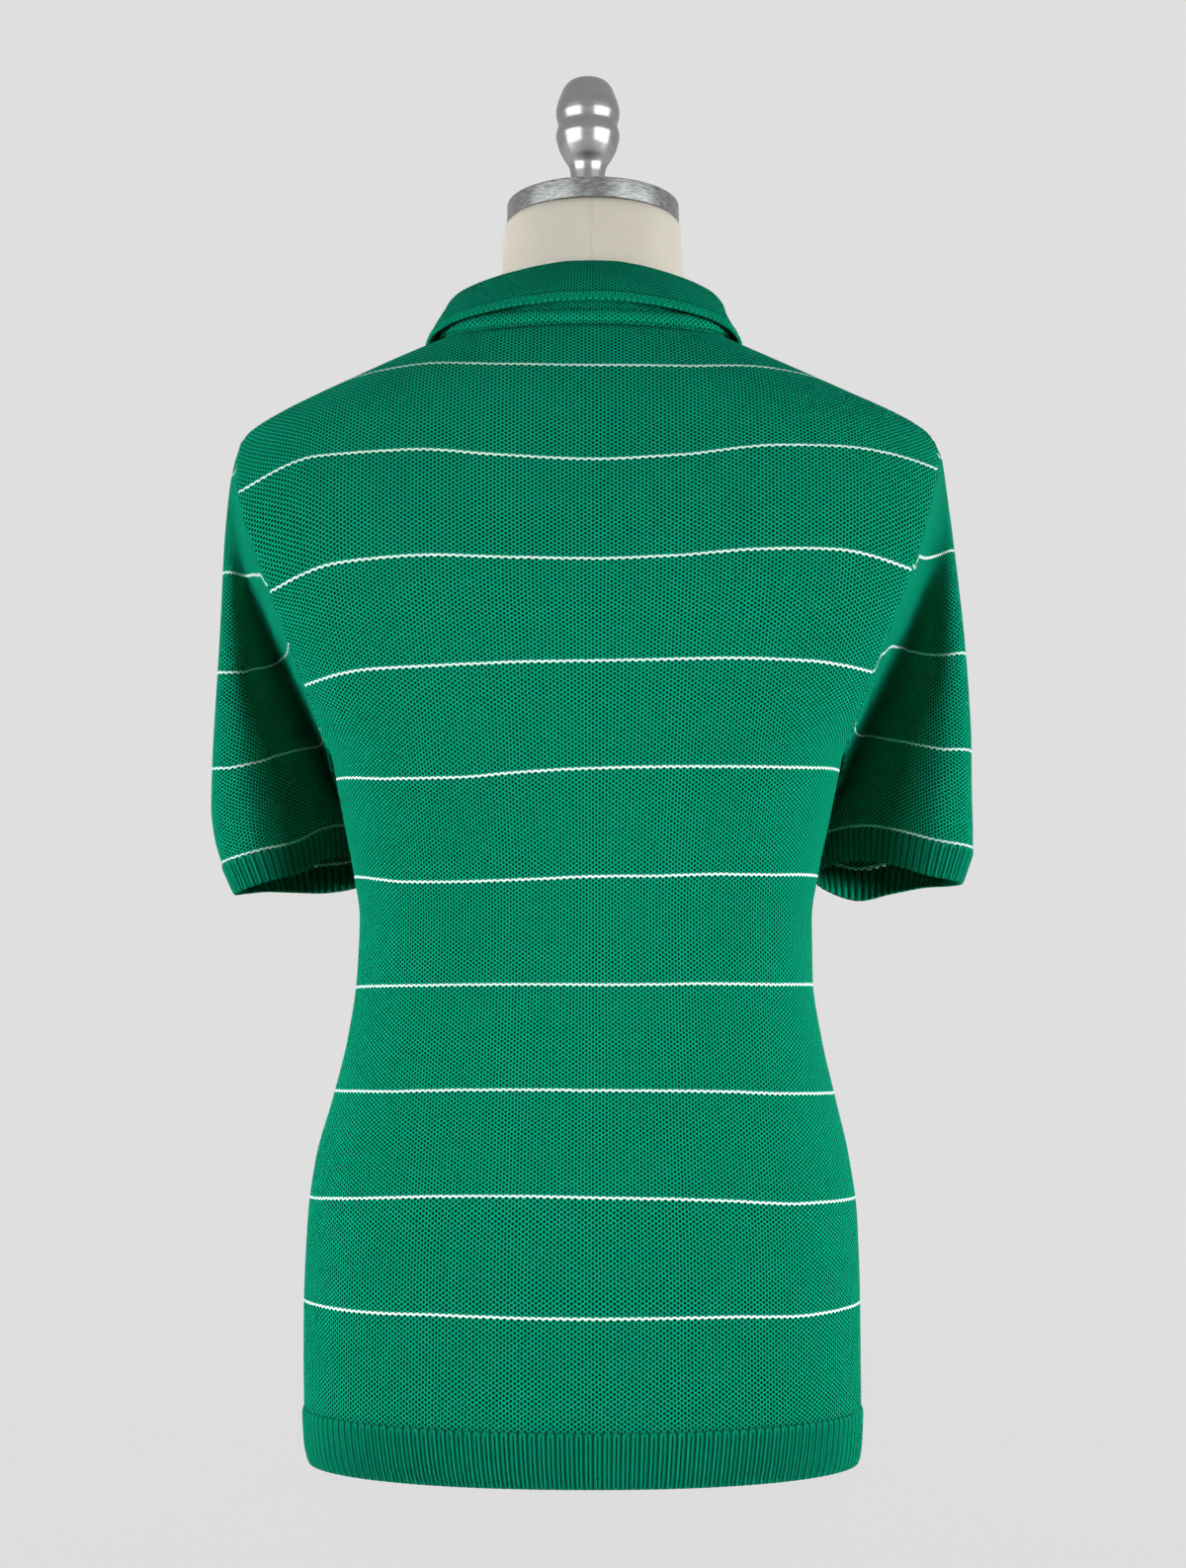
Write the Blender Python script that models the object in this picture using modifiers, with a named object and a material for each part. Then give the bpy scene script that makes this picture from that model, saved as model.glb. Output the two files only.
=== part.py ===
"""Polo shirt on a limbless dress form.

Metres, +Z up. The wearer's left is +X and the front faces -Y.
The origin is the middle of the form's flat base. Heights in the tables are
above the lower edge of the shirt's hem, which hangs HEM_LIFT above that base.
"""
import math

import bpy
import bmesh
import numpy as np
from mathutils import Matrix, Vector

HEM_LIFT = 0.004
CLOTH = 0.002              # wall of every knitted piece
SEAM = 0.0003              # gap between sewn pieces

HEM_HEIGHT = 0.033
RIB_PITCH = 0.0054         # one rib of the hem and the cuffs
RIB_RAISE = 0.0009
UNDERARM = 0.437           # height of the underarm point
SHOULDER_TIP = 0.6400      # height where shoulder seam and sleeve meet
ARMHOLE_REACH = 0.072      # how far the armhole goes to the back and the front

PLACKET_HALF = 0.016
PLACKET_ROW = 4            # row of the front panel where the placket slot ends
BUTTON_RADIUS = 0.0055
BUTTON_THICK = 0.0024
BUTTON_HEIGHTS = (0.612, 0.566, 0.520)

SLEEVE_STEPS = (0.0, 0.035, 0.09, 0.17, 0.28, 0.42, 0.57, 0.72, 0.86, 1.0)
LOW_ROWS = (0.0333, 0.06, 0.10, 0.15, 0.205, 0.255, 0.30, 0.345, 0.39, UNDERARM)
HIGH_STEPS = 11

# The neck binding's section: share of the stand's first row, and height over its gap.
BINDING_GAP = 0.0008
BINDING = ((0.12, 0.0009), (0.30, 0.0016), (0.46, 0.0020), (0.62, 0.0016), (0.78, 0.0009))

CAP_RADIUS = 0.056
CAP_LOW = 0.7853
CAP_HIGH = 0.798
FINIAL_TOP = 0.885
FINIAL_SEGMENTS = 20


def smooth(xs, ys, x):
    """Reads a table between its rows on a smooth curve that never overshoots."""
    xs = np.asarray(xs, float)
    ys = np.asarray(ys, float)
    x = np.clip(np.asarray(x, float), xs[0], xs[-1])
    gap = np.diff(xs)
    slope = np.diff(ys) / gap
    tangent = np.zeros(len(xs))
    tangent[0] = slope[0]
    tangent[-1] = slope[-1]
    for i in range(1, len(xs) - 1):
        if slope[i - 1] * slope[i] > 0:
            w1 = 2 * gap[i] + gap[i - 1]
            w2 = gap[i] + 2 * gap[i - 1]
            tangent[i] = (w1 + w2) / (w1 / slope[i - 1] + w2 / slope[i])
    i = np.clip(np.searchsorted(xs, x, side="right") - 1, 0, len(xs) - 2)
    t = (x - xs[i]) / gap[i]
    start = (1 + 2 * t) * (1 - t) ** 2 * ys[i] + t * (1 - t) ** 2 * gap[i] * tangent[i]
    end = t * t * (3 - 2 * t) * ys[i + 1] + t * t * (t - 1) * gap[i] * tangent[i + 1]
    return start + end


class Table:
    """Rows of sizes with named columns. The first column is what the rest is read by."""

    def __init__(self, names, rows):
        self.names = names.split()
        self.columns = dict(zip(self.names, np.array(rows, float).T))

    def __getitem__(self, name):
        return self.columns[name]

    def at(self, name, key):
        return smooth(self.columns[self.names[0]], self.columns[name], key)


# Half-widths of the shirt below the underarm, to the wearer's left and right.
SIDES = Table("height left right", [
    (0.000, 0.1746, 0.1632),
    (0.012, 0.1771, 0.1648),
    (0.039, 0.1786, 0.1658),
    (0.093, 0.1793, 0.1658),
    (0.148, 0.1776, 0.1646),
    (0.184, 0.1731, 0.1601),
    (0.221, 0.1630, 0.1519),
    (0.258, 0.1541, 0.1436),
    (0.295, 0.1489, 0.1385),
    (0.332, 0.1474, 0.1383),
    (0.361, 0.1515, 0.1427),
    (0.395, 0.1583, 0.1502),
    (0.437, 0.1665, 0.1590),
])

# Half-widths along the shoulder line, from the tip up to the neck.
RIDGE = Table("height left right", [
    (0.6400, 0.2235, 0.2175),
    (0.6445, 0.2175, 0.2110),
    (0.6525, 0.2045, 0.1965),
    (0.6615, 0.1870, 0.1770),
    (0.6710, 0.1670, 0.1560),
    (0.6810, 0.1455, 0.1335),
    (0.6910, 0.1225, 0.1105),
    (0.6985, 0.1040, 0.0930),
    (0.7050, 0.0880, 0.0780),
])

# Depths at the middle of the back and of the front, and how square the level section is.
DEPTHS = Table("height back front square", [
    (0.000, 0.1035, 0.1035, 2.12),
    (0.012, 0.1080, 0.1070, 2.12),
    (0.033, 0.1135, 0.1110, 2.12),
    (0.060, 0.1160, 0.1125, 2.12),
    (0.100, 0.1165, 0.1115, 2.14),
    (0.180, 0.1120, 0.1060, 2.16),
    (0.260, 0.1020, 0.0990, 2.18),
    (0.330, 0.0975, 0.0985, 2.20),
    (0.400, 0.1035, 0.1060, 2.25),
    (0.470, 0.1120, 0.1170, 2.30),
    (0.540, 0.1165, 0.1210, 2.30),
    (0.580, 0.1160, 0.1145, 2.26),
    (0.628, 0.1095, 0.0950, 2.18),
    (0.655, 0.1010, 0.0825, 2.12),
    (0.678, 0.0905, 0.0730, 2.10),
    (0.694, 0.0820, 0.0660, 2.10),
    (0.705, 0.0740, 0.0605, 2.10),
])

# The armhole seam, seen from the back or the front.
ARMHOLE = Table("height left right", [
    (0.437, 0.1665, 0.1590),
    (0.474, 0.1776, 0.1695),
    (0.513, 0.1917, 0.1836),
    (0.547, 0.2040, 0.1963),
    (0.582, 0.2165, 0.2073),
    (0.613, 0.2222, 0.2152),
    (0.640, 0.2235, 0.2175),
])

# Columns of both body panels, from the middle to the armhole. At the top they
# end on the neck seam, and those from the seventh on the shoulder line.
COLUMNS = Table("number left right neck_back neck_front", [
    (0, 0.0000, 0.0000, 0.6940, 0.6280),
    (1, 0.0160, 0.0160, 0.6940, 0.6293),
    (2, 0.0340, 0.0320, 0.6940, 0.6355),
    (3, 0.0550, 0.0505, 0.6941, 0.6490),
    (4, 0.0765, 0.0690, 0.6950, 0.6730),
    (5, 0.0895, 0.0800, 0.6980, 0.6905),
    (6, 0.0955, 0.0852, 0.7002, 0.6990),
    (7, 0.0980, 0.0875, 0.7010, 0.7010),
    (8, 0.1240, 0.1130, 0, 0),
    (9, 0.1500, 0.1400, 0, 0),
    (10, 0.1730, 0.1650, 0, 0),
    (11, 0.1950, 0.1880, 0, 0),
    (12, 0.2120, 0.2055, 0, 0),
    (13, 0.2235, 0.2175, 0, 0),
])
NECK_COLUMN = 7
EDGE_COLUMN = 13

# The collar on the wearer's left, one row for each column of the neck seam and
# from the middle of the back to the front end: top of the fold and leaf's edge.
COLLAR = Table("station fold_x fold_y fold_z edge_x edge_y edge_z", [
    (0, 0.0000, 0.0755, 0.7355, 0.0000, 0.0945, 0.7060),
    (1, 0.0145, 0.0750, 0.7354, 0.0175, 0.0938, 0.7056),
    (2, 0.0305, 0.0720, 0.7348, 0.0368, 0.0905, 0.7046),
    (3, 0.0490, 0.0650, 0.7338, 0.0582, 0.0825, 0.7035),
    (4, 0.0715, 0.0485, 0.7315, 0.0838, 0.0650, 0.7022),
    (5, 0.0842, 0.0300, 0.7290, 0.0985, 0.0450, 0.7008),
    (6, 0.0900, 0.0135, 0.7264, 0.1058, 0.0220, 0.7005),
    (7, 0.0922, -0.0020, 0.7236, 0.1086, -0.0010, 0.7005),
    (8, 0.0912, -0.0230, 0.7178, 0.1105, -0.0270, 0.6973),
    (9, 0.0870, -0.0440, 0.7085, 0.1110, -0.0530, 0.6860),
    (10, 0.0775, -0.0640, 0.6955, 0.1030, -0.0770, 0.6650),
    (11, 0.0570, -0.0845, 0.6765, 0.0870, -0.0975, 0.6385),
    (12, 0.0370, -0.0945, 0.6630, 0.0720, -0.1080, 0.6185),
    (13, 0.0180, -0.0990, 0.6545, 0.0590, -0.1145, 0.6030),
    (14, 0.0035, -0.1005, 0.6505, 0.0490, -0.1175, 0.5940),
])
COLLAR_END = 14
LEAF_CLEAR = 0.0045        # the leaf's edge lies at least this far off the front
LEAF_BULGE = 0.0025        # how far the leaf rounds out between fold and edge
FOLD_HALF = 0.0026         # half of the distance between stand and leaf at the fold

# How far a sleeve leaves the straight line from the armhole to the cuff, along
# its outer line (left and right), its back and front folds and its underarm.
SLEEVE = Table("step out_left out_right fold_in fold_out under_out under_up under_fore", [
    (0.00, 0.0000, 0.0000, 0.0000, 0.0000, 0.0000, 0.0000, 0.0000),
    (0.05, 0.0055, 0.0052, 0.0050, 0.0030, 0.0022, 0.0050, 0.0008),
    (0.12, 0.0088, 0.0063, 0.0090, 0.0050, 0.0042, 0.0060, 0.0030),
    (0.26, 0.0104, 0.0079, 0.0120, 0.0060, 0.0055, 0.0030, 0.0080),
    (0.47, 0.0100, 0.0087, 0.0090, 0.0045, 0.0050, 0.0000, 0.0095),
    (0.69, 0.0103, 0.0070, 0.0040, 0.0025, 0.0042, 0.0000, 0.0050),
    (0.86, 0.0093, 0.0031, 0.0015, 0.0010, 0.0024, 0.0000, 0.0010),
    (0.93, 0.0063, 0.0017, 0.0005, 0.0000, 0.0010, 0.0000, 0.0000),
    (1.00, 0.0000, 0.0000, 0.0000, 0.0000, 0.0000, 0.0000, 0.0000),
])
FRONT_FOLD = 0.5           # the fold in front of the sleeve is this share of the back one
FALL_FORWARD = 5.0         # how soon below the seam the back of the sleeve falls forward

# The upper edge of each cuff, written for the left side: how far out, to the back and
# up its places are, from the outermost over the back, the inmost and the front. The
# lower edge is high below it, drawn in to narrow times its size and shifted inwards.
CUFFS = {
    "left": dict(side=1, middle=(0.1920, -0.0400), high=0.0210, narrow=0.90, shift=0.0035, ring=[
        (0.2365, -0.0120, 0.3698), (0.2300, 0.0095, 0.3712), (0.2100, 0.0140, 0.3770), (0.1900, -0.0045, 0.3835),
        (0.1735, -0.0250, 0.3940), (0.1595, -0.0450, 0.3972), (0.1485, -0.0660, 0.3925), (0.1560, -0.0870, 0.3842),
        (0.1800, -0.0920, 0.3772), (0.2030, -0.0815, 0.3750), (0.2210, -0.0625, 0.3745), (0.2320, -0.0380, 0.3720)]),
    "right": dict(side=-1, middle=(0.1940, -0.0400), high=0.0232, narrow=0.90, shift=0.0022, ring=[
        (0.2420, -0.0080, 0.3786), (0.2345, 0.0140, 0.3795), (0.2140, 0.0185, 0.3828), (0.1930, 0.0020, 0.3902),
        (0.1755, -0.0180, 0.3948), (0.1590, -0.0395, 0.3945), (0.1430, -0.0630, 0.3895), (0.1500, -0.0870, 0.3810),
        (0.1770, -0.0950, 0.3725), (0.2020, -0.0860, 0.3765), (0.2230, -0.0660, 0.3795), (0.2370, -0.0390, 0.3790)]),
}
CUFF_GAP = 0.0009          # between sleeve and cuff, whose edges turn round in steps of their own

# The form inside: how much further in than the cloth's wall it lies.
FORM_INSET = Table("height inset", [
    (-0.004, 0.0260),
    (0.004, 0.0215),
    (0.030, 0.0170),
    (0.060, 0.0120),
    (0.100, 0.0090),
    (0.200, 0.0060),
    (0.350, 0.0050),
    (0.430, 0.0080),
    (0.470, 0.0070),
    (0.520, 0.0040),
    (0.580, 0.0030),
    (0.620, 0.0030),
    (0.642, 0.0020),
    (0.656, 0.0000),
    (0.705, 0.0000),
])
FORM_WALL = 0.0029         # from the cloth's outer side to the form where it rests
FORM_DROP = 0.0025
FORM_RINGS = (-0.004, 0.004, 0.03, 0.09, 0.15, 0.20, 0.25, 0.31, 0.36, 0.40, 0.435, 0.465,
              0.50, 0.54, 0.575, 0.602, 0.620, 0.631, 0.640, 0.648, 0.656, 0.664, 0.673, 0.681)
FORM_SEGMENTS = 36
ARM_PLATE = 0.009          # the form's armhole end lies this far inside the seam
ARM_ROUND = 0.004
# The form's neck: half-width and depths, which turn round as they rise.
FORM_NECK = Table("height left right back front", [
    (0.6890, 0.1165, 0.1045, 0.0770, 0.0585),
    (0.6955, 0.0985, 0.0880, 0.0720, 0.0560),
    (0.7020, 0.0860, 0.0780, 0.0680, 0.0555),
    (0.7110, 0.0750, 0.0700, 0.0640, 0.0558),
    (0.7240, 0.0670, 0.0645, 0.0610, 0.0565),
    (0.7420, 0.0610, 0.0600, 0.0588, 0.0572),
    (0.7600, 0.0582, 0.0580, 0.0579, 0.0577),
    (0.7850, 0.0578, 0.0578, 0.0578, 0.0578),
])

# The turned finial: distance below its top and radius.
FINIAL = Table("below radius", [
    (0.0000, 0.0000),
    (0.0008, 0.0048),
    (0.0030, 0.0100),
    (0.0080, 0.0158),
    (0.0130, 0.0185),
    (0.0180, 0.0202),
    (0.0230, 0.0210),
    (0.0280, 0.0204),
    (0.0320, 0.0194),
    (0.0360, 0.0206),
    (0.0390, 0.0210),
    (0.0430, 0.0200),
    (0.0480, 0.0173),
    (0.0530, 0.0141),
    (0.0585, 0.0117),
    (0.0640, 0.0111),
    (0.0867, 0.0110),
])


def depth(height, face):
    return DEPTHS.at("back" if face > 0 else "front", height)


def half_width(height, side, face):
    """Half-width of the level section, which above the underarm runs on past the armhole."""
    name = "left" if side > 0 else "right"
    if height <= UNDERARM:
        return SIDES.at(name, height)
    if height >= SHOULDER_TIP:
        return RIDGE.at(name, height)
    reach = armhole_reach(height) / depth(height, face)
    square = DEPTHS.at("square", height)
    return ARMHOLE.at(name, height) / (1 - reach ** square) ** (1 / square)


def armhole_reach(height):
    middle = (UNDERARM + SHOULDER_TIP) / 2
    share = (height - middle) / (SHOULDER_TIP - middle)
    return ARMHOLE_REACH * math.sqrt(max(0.0, 1 - share * share))


def edge_x(height, side):
    """Where a body panel ends: side seam, then armhole, then straight up."""
    name = "left" if side > 0 else "right"
    if height <= UNDERARM:
        return SIDES.at(name, height)
    return ARMHOLE.at(name, min(height, SHOULDER_TIP))


def body_point(x, height, face):
    """Point of the shirt's outer side, for a distance from the middle and a height."""
    side = 1 if x >= 0 else -1
    share = min(abs(x) / half_width(height, side, face), 1.0)
    square = DEPTHS.at("square", height)
    y = depth(height, face) * (1 - share ** square) ** (1 / square)
    return np.array([x, face * y, height])


def body_normal(point, face):
    """Outward direction of the shirt's level sections stacked as one surface."""
    x, y, height = point
    side = 1 if x >= 0 else -1

    def level(z):
        across = abs(x) / half_width(z, side, face)
        along = abs(y) / depth(z, face)
        turn = DEPTHS.at("square", z)
        return across ** turn + along ** turn

    step = 0.001
    wide = half_width(height, side, face)
    deep = depth(height, face)
    square = DEPTHS.at("square", height)
    gradient = np.array([
        side * square * abs(x) ** (square - 1) / wide ** square,
        face * square * abs(y) ** (square - 1) / deep ** square,
        (level(height + step) - level(height - step)) / (2 * step),
    ])
    return gradient / np.linalg.norm(gradient)


def unit(vector):
    return vector / np.linalg.norm(vector)


def column_x(number, side, height):
    """Distance of a column from the middle: the inner two stay, the rest follow the edge."""
    name = "left" if side > 0 else "right"
    x = COLUMNS[name][number]
    top = COLUMNS[name][EDGE_COLUMN]
    if number <= 1:
        return x
    share = (x - PLACKET_HALF) / (top - PLACKET_HALF)
    return PLACKET_HALF + share * (edge_x(height, side) - PLACKET_HALF)


def column_top(number, side, face):
    """Height where a column ends, on the neck seam or on the shoulder line."""
    if number <= NECK_COLUMN:
        return COLUMNS["neck_back" if face > 0 else "neck_front"][number]
    name = "left" if side > 0 else "right"
    x = COLUMNS[name][number]
    return np.interp(-x, -RIDGE[name], RIDGE["height"]) if number == EDGE_COLUMN else ridge_height(x, name)


def ridge_height(x, name):
    heights = np.linspace(SHOULDER_TIP, RIDGE["height"][-1], 400)
    return np.interp(-x, -RIDGE.at(name, heights), heights)


def high_share(step):
    """Heights of the upper rows: close together at the underarm and closer at the shoulder."""
    return 1 - (1 - step) ** 2.3 / ((1 - step) ** 2.3 + step ** 1.8)


def panel_grid(face):
    """Outer points and outward directions of the back or the front, from the right side to the left."""
    points = []
    normals = []
    order = [(number, -1) for number in range(EDGE_COLUMN, 0, -1)]
    order += [(number, 1) for number in range(0, EDGE_COLUMN + 1)]
    for row in range(len(LOW_ROWS) + HIGH_STEPS):
        line = []
        directions = []
        for number, side in order:
            if row < len(LOW_ROWS):
                height = LOW_ROWS[row]
            else:
                share = high_share((row - len(LOW_ROWS) + 1) / HIGH_STEPS)
                height = UNDERARM + (column_top(number, side, face) - UNDERARM) * share
            x = side * column_x(number, side, height)
            point = body_point(x, height, face)
            on_side = number == EDGE_COLUMN and height <= UNDERARM
            on_ridge = row == len(LOW_ROWS) + HIGH_STEPS - 1 and number >= NECK_COLUMN
            if number == EDGE_COLUMN and height > UNDERARM and not on_ridge:
                point[1] = face * armhole_reach(height)
            if on_side or on_ridge:
                point[1] = 0.0
            normal = body_normal(point, face)
            if row == 0:
                normal = unit(normal * (1, 1, 0))
            line.append(point)
            directions.append(normal)
        points.append(line)
        normals.append(directions)
    return np.array(points), np.array(normals)


def add_object(name, mesh, material, collection):
    mesh.materials.append(material)
    obj = bpy.data.objects.new(name, mesh)
    collection.objects.link(obj)
    return obj


def close_mesh(name, vertices, faces, lift=HEM_LIFT):
    """A closed mesh with its faces turned out and only the points that its faces use."""
    mesh = bpy.data.meshes.new(name)
    bm = bmesh.new()
    used = sorted({index for face in faces for index in face})
    placed = {index: bm.verts.new(Vector(vertices[index]) + Vector((0, 0, lift))) for index in used}
    for face in faces:
        bm.faces.new([placed[index] for index in face])
    bmesh.ops.recalc_face_normals(bm, faces=bm.faces)
    bm.to_mesh(mesh)
    bm.free()
    return mesh


def wall_mesh(name, outer, inner, ring=False, left_out=()):
    """A closed wall between two grids of points, without the cells that are left out."""
    rows, columns = outer.shape[:2]
    vertices = [*outer.reshape(-1, 3), *inner.reshape(-1, 3)]
    under = rows * columns
    faces = []
    edges = {}
    for row in range(rows - 1):
        for column in range(columns if ring else columns - 1):
            if (row, column) in left_out:
                continue
            beside = (column + 1) % columns
            corners = [row * columns + column, row * columns + beside,
                       (row + 1) * columns + beside, (row + 1) * columns + column]
            faces.append(corners)
            faces.append([under + index for index in reversed(corners)])
            for a, b in zip(corners, corners[1:] + corners[:1]):
                edges[frozenset((a, b))] = None if frozenset((a, b)) in edges else (a, b)
    for edge in edges.values():
        if edge:
            a, b = edge
            faces.append([b, a, under + a, under + b])
    return close_mesh(name, vertices, faces)


def build_panel(name, face, material, collection):
    """The back or the front, with the slot for the placket in the front."""
    points, normals = panel_grid(face)
    inner = points - normals * CLOTH
    shift = np.array([0, face * SEAM / 2, 0])
    for edge in (0, -1):
        for row in range(len(LOW_ROWS)):
            points[row, edge] += shift
            inner[row, edge] += shift
    for column in range(points.shape[1]):
        if abs(column - EDGE_COLUMN) >= NECK_COLUMN:
            points[-1, column] += shift
            inner[-1, column] += shift
    slot = set()
    if face < 0:
        first = len(LOW_ROWS) - 1 + PLACKET_ROW
        slot = {(row, EDGE_COLUMN + cell) for row in range(first, points.shape[0] - 1) for cell in (-1, 0)}
    mesh = wall_mesh(name, points, inner, left_out=slot)
    add_object(name, mesh, material, collection)


def build_placket(collection, under_material, upper_material):
    """Two bands: one fills the slot at the front's own level, one lies on it."""
    first = len(LOW_ROWS) - 1 + PLACKET_ROW
    points, normals = panel_grid(-1)
    rows = [*range(first, points.shape[0] - 3), -1]
    points = points[rows, EDGE_COLUMN - 1:EDGE_COLUMN + 2]
    normals = normals[rows, EDGE_COLUMN - 1:EDGE_COLUMN + 2]
    for name, half, lower, top, out, material in (
            ("placket_under", PLACKET_HALF - SEAM, -SEAM, SEAM, 0.0, under_material),
            ("placket_upper", PLACKET_HALF + 0.0008, 0.004, 0.0018, CLOTH + 2 * SEAM, upper_material)):
        band = points * (half / PLACKET_HALF, 1, 1)
        down = points[0] - points[1]
        band[0] += down * (lower / np.linalg.norm(down, axis=1))[:, None]
        down = points[-2] - points[-1]
        band[-1] += down * (top / np.linalg.norm(down, axis=1))[:, None]
        outer = band + normals * out
        inner = band + normals * (out - CLOTH)
        add_object(name, wall_mesh(name, outer, inner), material, collection)


def build_buttons(collection, material):
    """Round buttons on the upper band, each turned along the cloth's outward direction."""
    for name, height in zip(("button_top", "button_middle", "button_low"), BUTTON_HEIGHTS):
        point = body_point(0.0, height, -1)
        normal = body_normal(point, -1)
        out = CLOTH + 4 * SEAM + BUTTON_THICK / 2
        mesh = bpy.data.meshes.new(name)
        bm = bmesh.new()
        bmesh.ops.create_cone(bm, cap_ends=True, segments=20, radius1=BUTTON_RADIUS,
                              radius2=BUTTON_RADIUS, depth=BUTTON_THICK)
        rim = [edge for edge in bm.edges if abs(edge.verts[0].co.z - edge.verts[1].co.z) < 1e-6]
        bmesh.ops.bevel(bm, geom=rim, offset=0.0006, segments=1, profile=0.5, affect="EDGES")
        bm.to_mesh(mesh)
        bm.free()
        button = add_object(name, mesh, material, collection)
        turn = Vector((0, 0, 1)).rotation_difference(Vector(normal)).to_matrix().to_4x4()
        place = Vector(point + normal * out) + Vector((0, 0, HEM_LIFT))
        button.matrix_world = Matrix.Translation(place) @ turn


def ring_half(height, face, count):
    """Points at equal steps round the back or the front at one height, right side to left."""
    fine = []
    square = DEPTHS.at("square", height)
    for angle in np.linspace(math.pi, 0, 1201):
        side = 1 if math.cos(angle) >= 0 else -1
        x = side * half_width(height, side, face) * abs(math.cos(angle)) ** (2 / square)
        y = face * depth(height, face) * abs(math.sin(angle)) ** (2 / square)
        fine.append((x, y))
    return even_steps(np.array(fine), count)


def even_steps(line, count):
    """The same line with its points at equal steps."""
    run = np.concatenate([[0], np.cumsum(np.linalg.norm(np.diff(line, axis=0), axis=1))])
    steps = np.linspace(0, run[-1], count)
    return np.column_stack([np.interp(steps, run, line[:, axis]) for axis in range(line.shape[1])])


def outward(line, centre):
    """Level outward directions along a level line."""
    along = np.gradient(line, axis=0)
    across = np.column_stack([along[:, 1], -along[:, 0]])
    across /= np.linalg.norm(across, axis=1)[:, None]
    return across * np.sign(np.sum(across * (line - centre)))


def ribbed_band(name, low, high, low_out, high_out, ring, material, collection):
    """A band whose outer points rise into ribs over a plain inside.

    low and high hold one point for each third of a rib along both edges. Each rib
    is a groove and the two sides of its crest; the inside has one point for each rib.
    """
    count = len(low)
    loops = []
    for line, out in ((low, low_out), (high, high_out)):
        raised = np.array([0 if k % 3 == 0 else RIB_RAISE for k in range(count)])
        loops.append(line + out * raised[:, None])
        loops.append((line - out * CLOTH)[::3])
    outer_low, inner_low, outer_high, inner_high = loops
    vertices = np.concatenate([outer_low, outer_high, inner_low, inner_high])
    few = len(inner_low)
    start = {"low": 0, "high": count, "inner_low": 2 * count, "inner_high": 2 * count + few}
    faces = []
    ribs = few if ring else few - 1
    for rib in range(ribs):
        near = rib
        far = (rib + 1) % few
        for part in range(3):
            a = rib * 3 + part
            b = (a + 1) % count
            faces.append([start["low"] + a, start["low"] + b, start["high"] + b, start["high"] + a])
        faces.append([start["inner_low"] + far, start["inner_low"] + near,
                      start["inner_high"] + near, start["inner_high"] + far])
        for edge in ("low", "high"):
            crest = [start[edge] + (rib * 3 + part) % count for part in range(4)]
            faces.append([start["inner_" + edge] + near, *crest, start["inner_" + edge] + far])
    if not ring:
        for outer_at, inner_at in ((0, 0), (count - 1, few - 1)):
            faces.append([start["low"] + outer_at, start["high"] + outer_at,
                          start["inner_high"] + inner_at, start["inner_low"] + inner_at])
    add_object(name, close_mesh(name, vertices, faces), material, collection)


def build_hem(face, name, material, collection):
    """Half of the hem's rib band, from one side seam to the other."""
    length = np.linalg.norm(np.diff(ring_half(HEM_HEIGHT, face, 400), axis=0), axis=1).sum()
    ribs = round(length / RIB_PITCH)
    lines = []
    outs = []
    for height in (0.0, HEM_HEIGHT):
        line = ring_half(height, face, ribs * 3 + 1)
        out = outward(line, np.zeros(2))
        for end in (0, -1):
            out[end] = (np.sign(line[end, 0]), 0)
            line[end, 1] = face * SEAM / 2
        lines.append(np.column_stack([line, np.full(len(line), height)]))
        outs.append(np.column_stack([out, np.zeros(len(line))]))
    ribbed_band(name, *lines, *outs, False, material, collection)


def round_through(places, turn):
    """A closed smooth curve through the places, the first at turn 0 and again at turn 1."""
    places = np.array(places)
    at = turn * len(places)
    i = np.floor(at).astype(int)
    t = (at - i)[:, None]
    a, b, c, d = (places[(i + k) % len(places)] for k in (-1, 0, 1, 2))
    return (2 * b + (c - a) * t + (2 * a - 5 * b + 4 * c - d) * t ** 2 + (3 * b - a - 3 * c + d) * t ** 3) / 2


def cuff_centre(size):
    return np.array([size["side"] * size["middle"][0], size["middle"][1]])


def cuff_ring(size, angles, top):
    """Points of a cuff's lower or upper edge. Angle 0 is its outermost point, 90 degrees its back."""
    ring = round_through(size["ring"], angles / (2 * math.pi))
    if not top:
        middle = np.array(size["middle"])
        ring[:, :2] = middle + (ring[:, :2] - middle) * size["narrow"]
        ring[:, 0] -= size["shift"]
        ring[:, 2] -= size["high"]
    ring[:, 0] *= size["side"]
    return ring


def build_cuff(side_name, material, collection):
    size = CUFFS[side_name]
    angles = np.linspace(0, 2 * math.pi, 1441)
    length = np.linalg.norm(np.diff(cuff_ring(size, angles, True), axis=0), axis=1).sum()
    ribs = round(length / RIB_PITCH)
    lines = []
    outs = []
    for top in (False, True):
        line = even_steps(cuff_ring(size, angles, top), ribs * 3 + 1)[:-1]
        wrapped = np.concatenate([line[-1:], line, line[:1]])[:, :2]
        out = outward(wrapped, cuff_centre(size))[1:-1]
        lines.append(line)
        outs.append(np.column_stack([out, np.zeros(len(out))]))
    ribbed_band("cuff_" + side_name, *lines, *outs, True, material, collection)


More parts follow.
